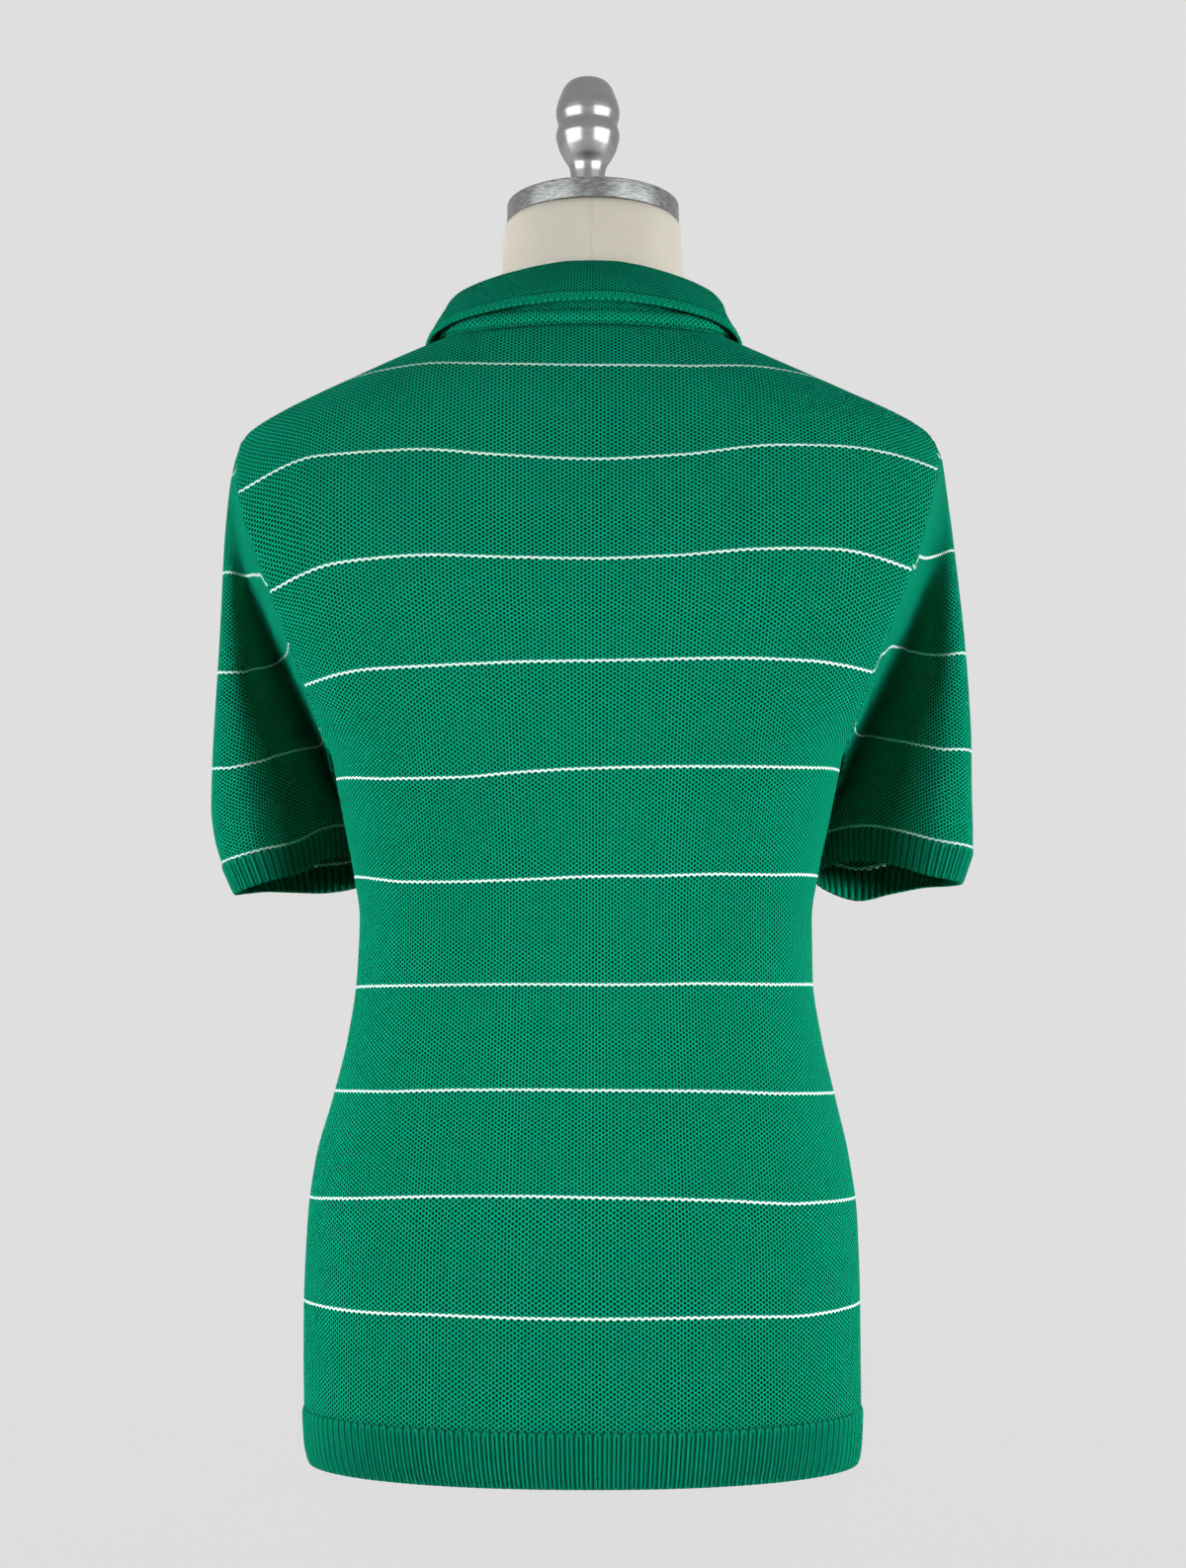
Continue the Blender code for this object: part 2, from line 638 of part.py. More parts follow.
def armhole_loop(side):
    """Armhole points, outward directions and directions away from the panels.

    They run from the shoulder tip down the back, over the underarm and up the front.
    """
    loop = []
    first = len(LOW_ROWS) - 1
    for face in (1, -1):
        points, normals = panel_grid(face)
        edge = -1 if side > 0 else 0
        beside = -2 if side > 0 else 1
        rows = range(points.shape[0] - 1, first - 1, -1) if face > 0 else range(first + 1, points.shape[0] - 1)
        for row in rows:
            loop.append((points[row, edge], normals[row, edge], points[row, edge] - points[row, beside]))
    places = np.array([item[0] for item in loop])
    normals = np.array([item[1] for item in loop])
    leaving = np.array([item[2] for item in loop])
    along = np.roll(places, -1, axis=0) - np.roll(places, 1, axis=0)
    away = np.cross(along, normals)
    away /= np.linalg.norm(away, axis=1)[:, None]
    away *= np.sign(np.sum(away * leaving, axis=1))[:, None]
    away[HIGH_STEPS] = (0, 0, 1)
    return places, normals, away


def sleeve_grid(side_name):
    """Outer points and outward directions of a sleeve, from the armhole to the cuff."""
    side = 1 if side_name == "left" else -1
    size = CUFFS[side_name]
    places, normals, away = armhole_loop(side)
    count = len(places)
    angles = 2 * math.pi * np.arange(count) / count
    foot = cuff_ring(size, angles, True) + (0, 0, CUFF_GAP)
    start = places + away * SEAM
    outer_share = np.maximum(np.cos(angles), 0) ** 2
    under_share = np.maximum(-np.cos(angles), 0) ** 2
    fold_share = np.sin(angles) ** 2
    grid = []
    for step in SLEEVE_STEPS:
        line = start * (1 - step) + foot * step
        soon = step + (1 - (1 - step) ** FALL_FORWARD - step) * np.maximum(np.sin(angles), 0) ** 1.5
        line[:, 1] = start[:, 1] * (1 - soon) + foot[:, 1] * soon
        fold = SLEEVE.at("fold_in", step) * np.where(np.sin(angles) >= 0, 1.0, FRONT_FOLD)
        line[:, 0] += side * SLEEVE.at("out_" + side_name, step) * outer_share
        line[:, 0] += side * SLEEVE.at("fold_out", step) * fold_share
        line[:, 1] -= np.sign(np.sin(angles)) * fold * fold_share
        line[:, 0] += side * SLEEVE.at("under_out", step) * under_share
        line[:, 1] -= SLEEVE.at("under_fore", step) * under_share
        line[:, 2] += SLEEVE.at("under_up", step) * under_share
        grid.append(line)
    grid = np.array(grid)
    down = np.gradient(grid, axis=0)
    around = np.roll(grid, -1, axis=1) - np.roll(grid, 1, axis=1)
    directions = np.cross(around, down)
    directions /= np.linalg.norm(directions, axis=2)[:, :, None]
    if np.sum(directions[-1, :, :2] * (grid[-1, :, :2] - cuff_centre(size))) < 0:
        directions *= -1
    directions[0] = normals
    last = directions[-1]
    last[:, 2] = 0
    last /= np.linalg.norm(last, axis=1)[:, None]
    return grid, directions


def build_sleeve(side_name, material, collection):
    grid, directions = sleeve_grid(side_name)
    name = "sleeve_" + side_name
    add_object(name, wall_mesh(name, grid, grid - directions * CLOTH, ring=True), material, collection)


def neck_edge():
    """The neck seam from the left front over the back to the right front.

    Gives its points, the cloth's outward directions there, the directions away from the
    panels into the neck, and for each point its collar station and its side.
    """
    front, front_normals = panel_grid(-1)
    back, back_normals = panel_grid(1)
    near = body_point(0.0022, COLUMNS["neck_front"][0], -1)
    seam = []
    for side in (1, -1):
        half = [(near * (side, 1, 1), front_normals[-1, EDGE_COLUMN], COLLAR_END, side)]
        for number in range(1, NECK_COLUMN):
            column = EDGE_COLUMN + side * number
            half.append((front[-1, column], front_normals[-1, column], COLLAR_END - number, side))
        for number in range(NECK_COLUMN, -1, -1):
            column = EDGE_COLUMN + side * number
            half.append((back[-1, column], back_normals[-1, column], number, side))
        seam += half[:-1] if side > 0 else half[::-1]
    places = np.array([item[0] for item in seam])
    normals = np.array([item[1] for item in seam])
    away = np.cross(np.gradient(places, axis=0), normals)
    away /= np.linalg.norm(away, axis=1)[:, None]
    away *= np.sign(np.sum(away * (places * (-1, -1, 0) + (0, 0, 0.05)), axis=1))[:, None]
    return places, normals, away, [item[2:] for item in seam]


def collar_grid():
    """Middle points and half-wall directions of the collar, from the seam over the fold to the edge."""
    points = []
    directions = []
    for place, normal, rise, (station, side) in zip(*neck_edge()):
        name = "left" if side > 0 else "right"
        narrow = 1.0
        if name == "right":
            ratio = COLUMNS["right"][NECK_COLUMN] / COLUMNS["left"][NECK_COLUMN]
            narrow = ratio + (1 - ratio) * max(0, station - 10) / (COLLAR_END - 10)
        row = {key: COLLAR[key][station] for key in COLLAR.names}
        fold = np.array([side * narrow * row["fold_x"], row["fold_y"], row["fold_z"]])
        edge = np.array([side * narrow * row["edge_x"], row["edge_y"], row["edge_z"]])
        if station > NECK_COLUMN:
            under = body_point(edge[0], edge[2], -1)
            out = body_normal(under, -1)
            edge += out * max(0.0, LEAF_CLEAR - np.dot(edge - under, out))
        foot = place + rise * SEAM - normal * CLOTH / 2
        level = edge - fold
        level[2] = 0
        level = unit(level)
        stand_top = fold - level * FOLD_HALF + np.array([0, 0, -0.0034])
        leaf_top = fold + level * FOLD_HALF + np.array([0, 0, -0.0034])
        fall = edge - leaf_top
        face_out = np.cross(np.cross(level, fall), fall)
        face_out = unit(face_out) * np.sign(np.dot(face_out, level) or 1)
        middle_leaf = (leaf_top + edge) / 2 + face_out * LEAF_BULGE
        top = fold + np.array([0, 0, -0.0010])
        stand = stand_top - foot
        ridge = foot + unit(stand) * 0.009
        points.append([foot, ridge, foot + stand * 0.6, stand_top, top, leaf_top, middle_leaf, edge])
        directions.append(normal)
    grid = np.array(points).transpose(1, 0, 2)
    along = np.gradient(grid, axis=1)
    up = np.gradient(grid, axis=0)
    out = np.cross(along, up)
    out /= np.linalg.norm(out, axis=2)[:, :, None]
    back = grid.shape[1] // 2
    if out[1, back, 1] < 0:
        out *= -1
    out[0] = np.array(directions)
    return grid, out


def build_collar(collection, knit, binding):
    """The folded collar as one wall, and the binding round the foot of its stand."""
    grid, out = collar_grid()
    outer = grid + out * CLOTH / 2
    inner = grid - out * CLOTH / 2
    walls = []
    for side in (outer, inner):
        between = [side[0] + (side[1] - side[0]) * share for share in (1 / 3, 2 / 3)]
        walls.append(np.concatenate([side[:1], between, side[1:]]))
    add_object("collar", wall_mesh("collar", *walls), knit, collection)
    foot = outer[0]
    ridge = outer[1]
    along = np.gradient((foot + ridge) / 2, axis=0)
    raised = np.cross(along, ridge - foot)
    raised /= np.linalg.norm(raised, axis=1)[:, None]
    if raised[len(raised) // 2, 1] < 0:
        raised *= -1
    low = np.array([foot + (ridge - foot) * share + raised * BINDING_GAP for share, _ in BINDING])
    high = np.array([line + raised * bulge for line, (_, bulge) in zip(low, BINDING)])
    add_object("neck_binding", wall_mesh("neck_binding", high, low), binding, collection)


def soft_limit(x, limit, round_off):
    """The smaller of two sizes, rounded where they meet."""
    return -round_off * np.logaddexp(-x / round_off, -limit / round_off)


def form_ring(height):
    """A level ring of the form under the shirt, or of its neck above it."""
    angles = 2 * math.pi * np.arange(FORM_SEGMENTS) / FORM_SEGMENTS
    ring = []
    for angle in angles:
        side = 1 if math.cos(angle) >= 0 else -1
        face = 1 if math.sin(angle) >= 0 else -1
        if height >= FORM_NECK["height"][0]:
            wide = FORM_NECK.at("left" if side > 0 else "right", height)
            deep = FORM_NECK.at("back" if face > 0 else "front", height)
            square = 2.05
            limit = 1.0
        else:
            inset = FORM_WALL + FORM_INSET.at("inset", height)
            above = max(height + FORM_DROP, 0.0)
            wide = half_width(above, side, face) - inset
            deep = depth(above, face) - inset
            square = DEPTHS.at("square", above)
            limit = 1.0
            if height > UNDERARM - 0.03:
                limit = edge_x(min(height, SHOULDER_TIP), side) - ARM_PLATE
        x = wide * abs(math.cos(angle)) ** (2 / square)
        y = face * deep * abs(math.sin(angle)) ** (2 / square)
        ring.append((side * soft_limit(x, limit, ARM_ROUND) if limit < 1.0 else side * x, y, height))
    return np.array(ring)


def build_form(collection, fabric, steel, polish):
    """The dress form: torso and neck as one smooth body, the cap and the turned finial."""
    rings = [form_ring(height) for height in (*FORM_RINGS, *FORM_NECK["height"])]
    vertices = np.concatenate(rings)
    faces = []
    for ring in range(len(rings) - 1):
        for k in range(FORM_SEGMENTS):
            beside = (k + 1) % FORM_SEGMENTS
            low = ring * FORM_SEGMENTS
            high = low + FORM_SEGMENTS
            faces.append([low + k, low + beside, high + beside, high + k])
    faces.append(list(range(FORM_SEGMENTS))[::-1])
    faces.append([(len(rings) - 1) * FORM_SEGMENTS + k for k in range(FORM_SEGMENTS)])
    add_object("form_torso", close_mesh("form_torso", vertices, faces), fabric, collection)

    height = CAP_HIGH - CAP_LOW
    mesh = bpy.data.meshes.new("form_cap")
    bm = bmesh.new()
    bmesh.ops.create_cone(bm, cap_ends=True, segments=FORM_SEGMENTS, radius1=CAP_RADIUS,
                          radius2=CAP_RADIUS, depth=height)
    rim = [edge for edge in bm.edges if abs(edge.verts[0].co.z - edge.verts[1].co.z) < 1e-6]
    bmesh.ops.bevel(bm, geom=rim, offset=0.0012, segments=2, profile=0.5, affect="EDGES")
    bm.to_mesh(mesh)
    bm.free()
    cap = add_object("form_cap", mesh, steel, collection)
    cap.location = (0, 0, CAP_LOW + height / 2 + HEM_LIFT)

    profile = bpy.data.meshes.new("form_finial")
    outline = [(radius, 0, -below) for below, radius in zip(FINIAL["below"], FINIAL["radius"])]
    outline.append((0, 0, outline[-1][2]))
    profile.from_pydata(outline, [(k, k + 1) for k in range(len(outline) - 1)], [])
    finial = add_object("form_finial", profile, polish, collection)
    finial.location = (0, 0, FINIAL_TOP + HEM_LIFT)
    screw = finial.modifiers.new("Turn", "SCREW")
    screw.steps = FINIAL_SEGMENTS
    screw.render_steps = FINIAL_SEGMENTS
    screw.use_merge_vertices = True
    screw.merge_threshold = 0.00001


def make_material(name, colour, roughness, metallic=0.0):
    material = bpy.data.materials.new(name)
    material.use_nodes = True
    shader = material.node_tree.nodes["Principled BSDF"]
    shader.inputs["Base Color"].default_value = (*colour, 1.0)
    shader.inputs["Roughness"].default_value = roughness
    shader.inputs["Metallic"].default_value = metallic
    material.diffuse_color = (*colour, 1.0)
    return material


def main():
    for obj in list(bpy.data.objects):
        bpy.data.objects.remove(obj, do_unlink=True)
    shirt = bpy.data.collections.new("Polo shirt on a dress form")
    bpy.context.scene.collection.children.link(shirt)

    mesh_knit = make_material("Green mesh knit", (0.002, 0.21, 0.115), 0.85)
    rib_knit = make_material("Green rib knit", (0.002, 0.23, 0.13), 0.85)
    button = make_material("Green button", (0.01, 0.16, 0.09), 0.35)
    fabric = make_material("Cream fabric", (0.62, 0.57, 0.49), 0.9)
    steel = make_material("Brushed steel", (0.62, 0.62, 0.63), 0.35, 1.0)
    polish = make_material("Polished steel", (0.72, 0.72, 0.73), 0.08, 1.0)

    build_panel("back", 1, mesh_knit, shirt)
    build_panel("front", -1, mesh_knit, shirt)
    build_placket(shirt, rib_knit, rib_knit)
    build_buttons(shirt, button)
    build_hem(1, "hem_back", rib_knit, shirt)
    build_hem(-1, "hem_front", rib_knit, shirt)
    for side_name in ("left", "right"):
        build_sleeve(side_name, mesh_knit, shirt)
        build_cuff(side_name, rib_knit, shirt)
    build_collar(shirt, mesh_knit, rib_knit)
    build_form(shirt, fabric, steel, polish)


main()
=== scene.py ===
# Polo shirt on a limbless dress form: cloth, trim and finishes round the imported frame.
# Metres, +Z up, front towards -Y, the wearer's left towards +X.
import math
import bpy
import bmesh
import numpy as np
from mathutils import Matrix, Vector


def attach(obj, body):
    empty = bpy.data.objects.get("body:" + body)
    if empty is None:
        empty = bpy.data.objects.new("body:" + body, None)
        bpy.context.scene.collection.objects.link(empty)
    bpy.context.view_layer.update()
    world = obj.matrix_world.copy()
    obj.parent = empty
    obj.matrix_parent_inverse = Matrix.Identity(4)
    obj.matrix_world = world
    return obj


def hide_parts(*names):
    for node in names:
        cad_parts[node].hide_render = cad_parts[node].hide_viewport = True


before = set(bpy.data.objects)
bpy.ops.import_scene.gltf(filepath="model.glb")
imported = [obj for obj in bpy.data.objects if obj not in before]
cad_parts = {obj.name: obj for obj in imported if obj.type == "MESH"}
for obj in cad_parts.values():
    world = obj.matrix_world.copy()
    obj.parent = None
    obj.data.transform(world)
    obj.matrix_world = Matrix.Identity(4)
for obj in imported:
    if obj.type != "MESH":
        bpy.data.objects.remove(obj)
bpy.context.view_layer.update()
print("frame loaded:", len(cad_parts), "nodes")

shirt = {
    "lift": 0.004,            # lower edge of the hem above the floor
    "wall": 0.002,
    "seam": 0.0003,
    "underarm": 0.437,        # heights are above the hem's lower edge
    "shoulderTip": 0.640,
    "armholeReach": 0.072,
    "placketHalf": 0.016,
    "rowsPerStripe": 24,
    "crowd": (2.3, 1.8),      # how rows crowd towards the underarm and the shoulder
}


class Table:
    # rows of sizes in millimetres under named columns, read in metres on a curve that never
    # overshoots; the columns named in plain are counts or shares
    def __init__(self, names, rows, plain=""):
        names = names.split()
        units = [1 if name in plain.split() else 1000 for name in names]
        data = (np.array(rows, float) / units).T
        self.key = data[0]
        self.columns = dict(zip(names, data))
        self.leans = {}
        gap = np.diff(self.key)
        for name, values in self.columns.items():
            rise = np.diff(values) / gap
            lean = np.zeros(len(values))
            lean[0] = rise[0]
            lean[-1] = rise[-1]
            for i in range(1, len(values) - 1):
                if rise[i - 1] * rise[i] > 0:
                    near = 2 * gap[i] + gap[i - 1]
                    far = gap[i] + 2 * gap[i - 1]
                    lean[i] = (near + far) / (near / rise[i - 1] + far / rise[i])
            self.leans[name] = lean

    def at(self, name, key):
        key = np.clip(np.asarray(key, float), self.key[0], self.key[-1])
        i = np.clip(np.searchsorted(self.key, key, side="right") - 1, 0, len(self.key) - 2)
        gap = self.key[i + 1] - self.key[i]
        t = (key - self.key[i]) / gap
        values = self.columns[name]
        lean = self.leans[name]
        start = (1 + 2 * t) * (1 - t) ** 2 * values[i] + t * (1 - t) ** 2 * gap * lean[i]
        end = t * t * (3 - 2 * t) * values[i + 1] + t * t * (t - 1) * gap * lean[i + 1]
        return start + end


# half-widths of the shirt below the underarm
sides = Table("height left right", [
    (0, 174.6, 163.2), (12, 177.1, 164.8), (39, 178.6, 165.8), (93, 179.3, 165.8), (148, 177.6, 164.6),
    (184, 173.1, 160.1), (221, 163, 151.9), (258, 154.1, 143.6), (295, 148.9, 138.5), (332, 147.4, 138.3),
    (361, 151.5, 142.7), (395, 158.3, 150.2), (437, 166.5, 159)])

# half-widths along the shoulder line, from the tip up to the neck
ridge = Table("height left right", [
    (640, 223.5, 217.5), (644.5, 217.5, 211), (652.5, 204.5, 196.5), (661.5, 187, 177), (671, 167, 156),
    (681, 145.5, 133.5), (691, 122.5, 110.5), (698.5, 104, 93), (705, 88, 78)])

# depths at the middle of the back and the front, and how square the level section is
depths = Table("height back front square", [
    (0, 103.5, 103.5, 2.12), (12, 108, 107, 2.12), (33, 113.5, 111, 2.12), (60, 116, 112.5, 2.12),
    (100, 116.5, 111.5, 2.14), (180, 112, 106, 2.16), (260, 102, 99, 2.18), (330, 97.5, 98.5, 2.2),
    (400, 103.5, 106, 2.25), (470, 112, 117, 2.3), (540, 116.5, 121, 2.3), (580, 116, 114.5, 2.26),
    (628, 109.5, 95, 2.18), (655, 101, 82.5, 2.12), (678, 90.5, 73, 2.1), (694, 82, 66, 2.1),
    (705, 74, 60.5, 2.1)], plain="square")

# the armhole seam, seen from the back or the front
armhole = Table("height left right", [
    (437, 166.5, 159), (474, 177.6, 169.5), (513, 191.7, 183.6), (547, 204, 196.3), (582, 216.5, 207.3),
    (613, 222.2, 215.2), (640, 223.5, 217.5)])

# columns of both body panels from the middle to the armhole, and the neck seam over the first seven
columns = Table("number left right", [
    (0, 0, 0), (1, 16, 16), (2, 34, 32), (3, 55, 50.5), (4, 76.5, 69), (5, 89.5, 80), (6, 95.5, 85.2),
    (7, 98, 87.5), (8, 124, 113), (9, 150, 140), (10, 173, 165), (11, 195, 188), (12, 212, 205.5),
    (13, 223.5, 217.5)], plain="number")
neckSeam = Table("number back front", [
    (0, 694, 628), (1, 694, 629.3), (2, 694, 635.5), (3, 694.1, 649), (4, 695, 673), (5, 698, 690.5),
    (6, 700.2, 699), (7, 701, 701)], plain="number")
neckColumn = 7
edgeColumn = 13

# height of each white course, read across the panel from the right side to the left
backCourses = Table("place c0 c1 c2 c3 c4 c5 c6 c7 c8 c9 c10 c11", [
    (-1, 30, 97.5, 160.5, 224.3, 291, 358.6, 424.8, 480.9, 542.5, 610.5, 666, 722),
    (-0.75, 30, 95.7, 160.6, 225, 289.9, 356, 420.5, 483.1, 550.1, 615.5, 669.8, 724),
    (-0.5, 30, 97.6, 163.6, 226.7, 290, 355, 418.8, 482.6, 547.6, 612.7, 669.2, 725.2),
    (-0.25, 30, 98, 165.5, 227.3, 289.3, 353.4, 417.7, 481, 542.6, 604.5, 664.3, 721.7),
    (0, 30, 97.8, 166.3, 227.5, 289.1, 353, 416.6, 479.9, 540.6, 601.3, 663.5, 719),
    (0.25, 30, 98.1, 167, 227.9, 289.4, 351.4, 414.7, 479.4, 541.6, 604.4, 665.7, 721.9),
    (0.5, 30, 98.7, 166.3, 227.5, 289.4, 350.7, 412.4, 478.5, 544, 609.9, 670.8, 725.8),
    (0.75, 30, 97.8, 163.9, 226.3, 289.3, 351.7, 413.6, 478.1, 542, 610.2, 669, 725),
    (1, 30, 98.8, 160.5, 225.7, 289.4, 358.3, 419.3, 473.5, 528.7, 593.4, 658, 716)], plain="place")
frontCourses = Table("place c0 c1 c2 c3 c4 c5 c6 c7 c8 c9 c10 c11", [
    (-1, 30, 97.5, 160.5, 224.3, 291, 358.6, 424.8, 479.5, 536.5, 596, 652, 708),
    (-0.6, 30, 98.2, 162.2, 226.2, 290.8, 355.8, 419.7, 481.5, 543, 602, 658, 712),
    (0, 30, 98.5, 162.5, 226.2, 289.6, 353, 415.8, 478.5, 540, 598.5, 653, 706),
    (0.6, 30, 99.2, 161.8, 226.6, 290.4, 354.8, 417.2, 480, 542, 601.5, 657.5, 712),
    (1, 30, 98.8, 160.5, 225.7, 289.4, 358.3, 419.3, 474, 529.5, 590, 650, 707)], plain="place")

# how wide one repeat of the mesh knit is pulled at each height
knitPull = Table("height pair", [
    (30, 4.1), (120, 4.08), (200, 3.95), (330, 3.77), (450, 4.15), (550, 4.5), (660, 4.55)])


def bySide(table, key, left):
    return np.where(left, table.at("left", key), table.at("right", key))


def depthAt(height, face):
    return depths.at("back" if face > 0 else "front", height)


def armholeReach(height):
    middle = (shirt["underarm"] + shirt["shoulderTip"]) / 2
    share = (height - middle) / (shirt["shoulderTip"] - middle)
    return shirt["armholeReach"] * np.sqrt(np.clip(1 - share * share, 0, 1))


def halfWidth(height, left, face):
    square = depths.at("square", height)
    reach = np.minimum(armholeReach(height) / depthAt(height, face), 0.98)
    past = bySide(armhole, height, left) / (1 - reach ** square) ** (1 / square)
    upper = np.where(height >= shirt["shoulderTip"], bySide(ridge, height, left), past)
    return np.where(height <= shirt["underarm"], bySide(sides, height, left), upper)


def edgeX(height, left):
    upper = bySide(armhole, np.minimum(height, shirt["shoulderTip"]), left)
    return np.where(height <= shirt["underarm"], bySide(sides, height, left), upper)


def bodyPoint(x, height, face):
    x, height = np.broadcast_arrays(x, height)
    share = np.clip(np.abs(x) / halfWidth(height, x >= 0, face), 0, 1)
    square = depths.at("square", height)
    y = face * depthAt(height, face) * (1 - share ** square) ** (1 / square)
    return np.stack([x, y, height], axis=-1)


def bodyNormal(x, height, face):
    # outward direction, from two short steps on the surface
    step = 0.0006
    across = bodyPoint(x + step, height, face) - bodyPoint(x - step, height, face)
    up = bodyPoint(x, height + step, face) - bodyPoint(x, height - step, face)
    return unit(np.cross(up, across) * face)


def unit(vectors):
    return vectors / np.maximum(np.linalg.norm(vectors, axis=-1), 1e-12)[..., None]


def columnX(number, height):
    left = number >= 0
    count = np.abs(number)
    inner = shirt["placketHalf"]
    atTop = bySide(columns, count, left)
    last = bySide(columns, np.full_like(count, edgeColumn), left)
    share = (atTop - inner) / (last - inner)
    return np.sign(number) * np.where(count <= 1, atTop, inner + share * (edgeX(height, left) - inner))


def columnTop(number, face):
    left = number >= 0
    count = np.abs(number)
    heights = np.linspace(ridge.key[0], ridge.key[-1], 900)
    atTop = bySide(columns, count, left)
    onRidge = np.where(
        left,
        np.interp(-atTop, -ridge.at("left", heights), heights),
        np.interp(-atTop, -ridge.at("right", heights), heights))
    return np.where(count <= neckColumn, neckSeam.at("back" if face > 0 else "front", count), onRidge)


def runAlong(points):
    # how far each row lies from the first, along the cloth
    lengths = np.linalg.norm(np.diff(points, axis=0), axis=2)
    return np.vstack([np.zeros(points.shape[1]), np.cumsum(lengths, axis=0)])


def runAcross(points):
    # how far each column lies from the middle one, along the cloth
    run = runAlong(points.transpose(1, 0, 2)).T
    middle = points.shape[1] // 2
    return run - run[:, middle:middle + 1]


def hump(place, high, at, wide):
    # a smooth rise round one place
    return high * np.exp(-((place - at) / wide) ** 2)


def lineLength(line):
    return np.linalg.norm(np.diff(line, axis=0), axis=-1).sum(axis=0)


def evenSteps(lines, count):
    # the same lines, each with its points at equal steps
    run = runAlong(lines)
    evened = np.empty((count, lines.shape[1], lines.shape[2]))
    for k in range(lines.shape[1]):
        places = np.linspace(0, run[-1, k], count)
        for axis in range(lines.shape[2]):
            evened[:, k, axis] = np.interp(places, run[:, k], lines[:, k, axis])
    return evened


def evenLine(line, count):
    # one line, with its points at equal steps
    return evenSteps(line[:, None, :], count)[:, 0]


def gridNormals(points):
    return unit(np.cross(np.gradient(points, axis=1), np.gradient(points, axis=0)))


def gridMesh(points, uv=None):
    # a grid bent onto its worked-out points, whose heights are above the hem's lower edge
    rows, across = points.shape[:2]
    bm = bmesh.new()
    bmesh.ops.create_grid(bm, x_segments=across - 1, y_segments=rows - 1, size=1)
    uvLayer = None if uv is None else bm.loops.layers.uv.new("UVMap")
    placed = {}
    for vert in bm.verts:
        column = round((vert.co.x + 1) / 2 * (across - 1))
        row = round((vert.co.y + 1) / 2 * (rows - 1))
        placed[vert] = (row, column)
    for face in bm.faces:
        face.smooth = True
        for loop in face.loops if uvLayer else ():
            loop[uvLayer].uv = uv[placed[loop.vert]]
    for vert, place in placed.items():
        vert.co = Vector(points[place]) + Vector((0, 0, shirt["lift"]))
    return bm


def newObject(name, bm):
    mesh = bpy.data.meshes.new(name)
    bm.to_mesh(mesh)
    bm.free()
    piece = bpy.data.objects.new(name, mesh)
    bpy.context.scene.collection.objects.link(piece)
    return piece


def clothPiece(name, points, uv, outward, ring=False, wall=shirt["wall"], offset=-1.0):
    # outward is the way the cloth looks, at each point or all over
    bm = gridMesh(points, uv)
    if ring:
        bmesh.ops.remove_doubles(bm, verts=bm.verts, dist=1e-6)
    if np.sum(gridNormals(points) * outward) < 0:
        bmesh.ops.reverse_faces(bm, faces=bm.faces)
    piece = newObject(name, bm)
    solid = piece.modifiers.new("Wall", "SOLIDIFY")
    solid.thickness = wall
    solid.offset = offset
    return piece


def spinPiece(name, outline, steps, height=0.0, aside=0.0):
    # turns an outline of (radius, z) round the upright axis
    bm = bmesh.new()
    verts = [bm.verts.new((radius, 0, z)) for radius, z in outline]
    edges = [bm.edges.new(pair) for pair in zip(verts[:-1], verts[1:])]
    bmesh.ops.spin(bm, geom=verts + edges, cent=(0, 0, 0), axis=(0, 0, 1), angle=2 * math.pi,
                   steps=steps, use_merge=True)
    bmesh.ops.remove_doubles(bm, verts=bm.verts, dist=1e-6)
    bmesh.ops.recalc_face_normals(bm, faces=bm.faces)
    bmesh.ops.translate(bm, verts=bm.verts, vec=(aside, 0, height))
    for face in bm.faces:
        face.smooth = True
    return newObject(name, bm)


def finishPiece(piece, material, slot, *nodes):
    piece.data.materials.append(material)
    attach(piece, "root")
    if nodes:
        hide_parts(*nodes)


class Value:
    # a socket that takes part in sums, each of which adds a Math node
    def __init__(self, shade, socket):
        self.shade = shade
        self.socket = socket

    def math(self, operation, *others):
        sockets = dict(enumerate((self, *others)))
        return self.shade.add("ShaderNodeMath", {"operation": operation}, sockets)

    def __add__(self, other):
        return self.math("ADD", other)

    def __sub__(self, other):
        return self.math("SUBTRACT", other)

    def __mul__(self, other):
        return self.math("MULTIPLY", other)

    def __truediv__(self, other):
        return self.math("DIVIDE", other)

    def __rsub__(self, other):
        return self.shade.add("ShaderNodeMath", {"operation": "SUBTRACT"}, {0: other, 1: self})

    __radd__ = __add__
    __rmul__ = __mul__

    def fromHalf(self):
        # how far the value is from the middle of its step of 1
        return (self.math("FRACT") - 0.5).math("ABSOLUTE")


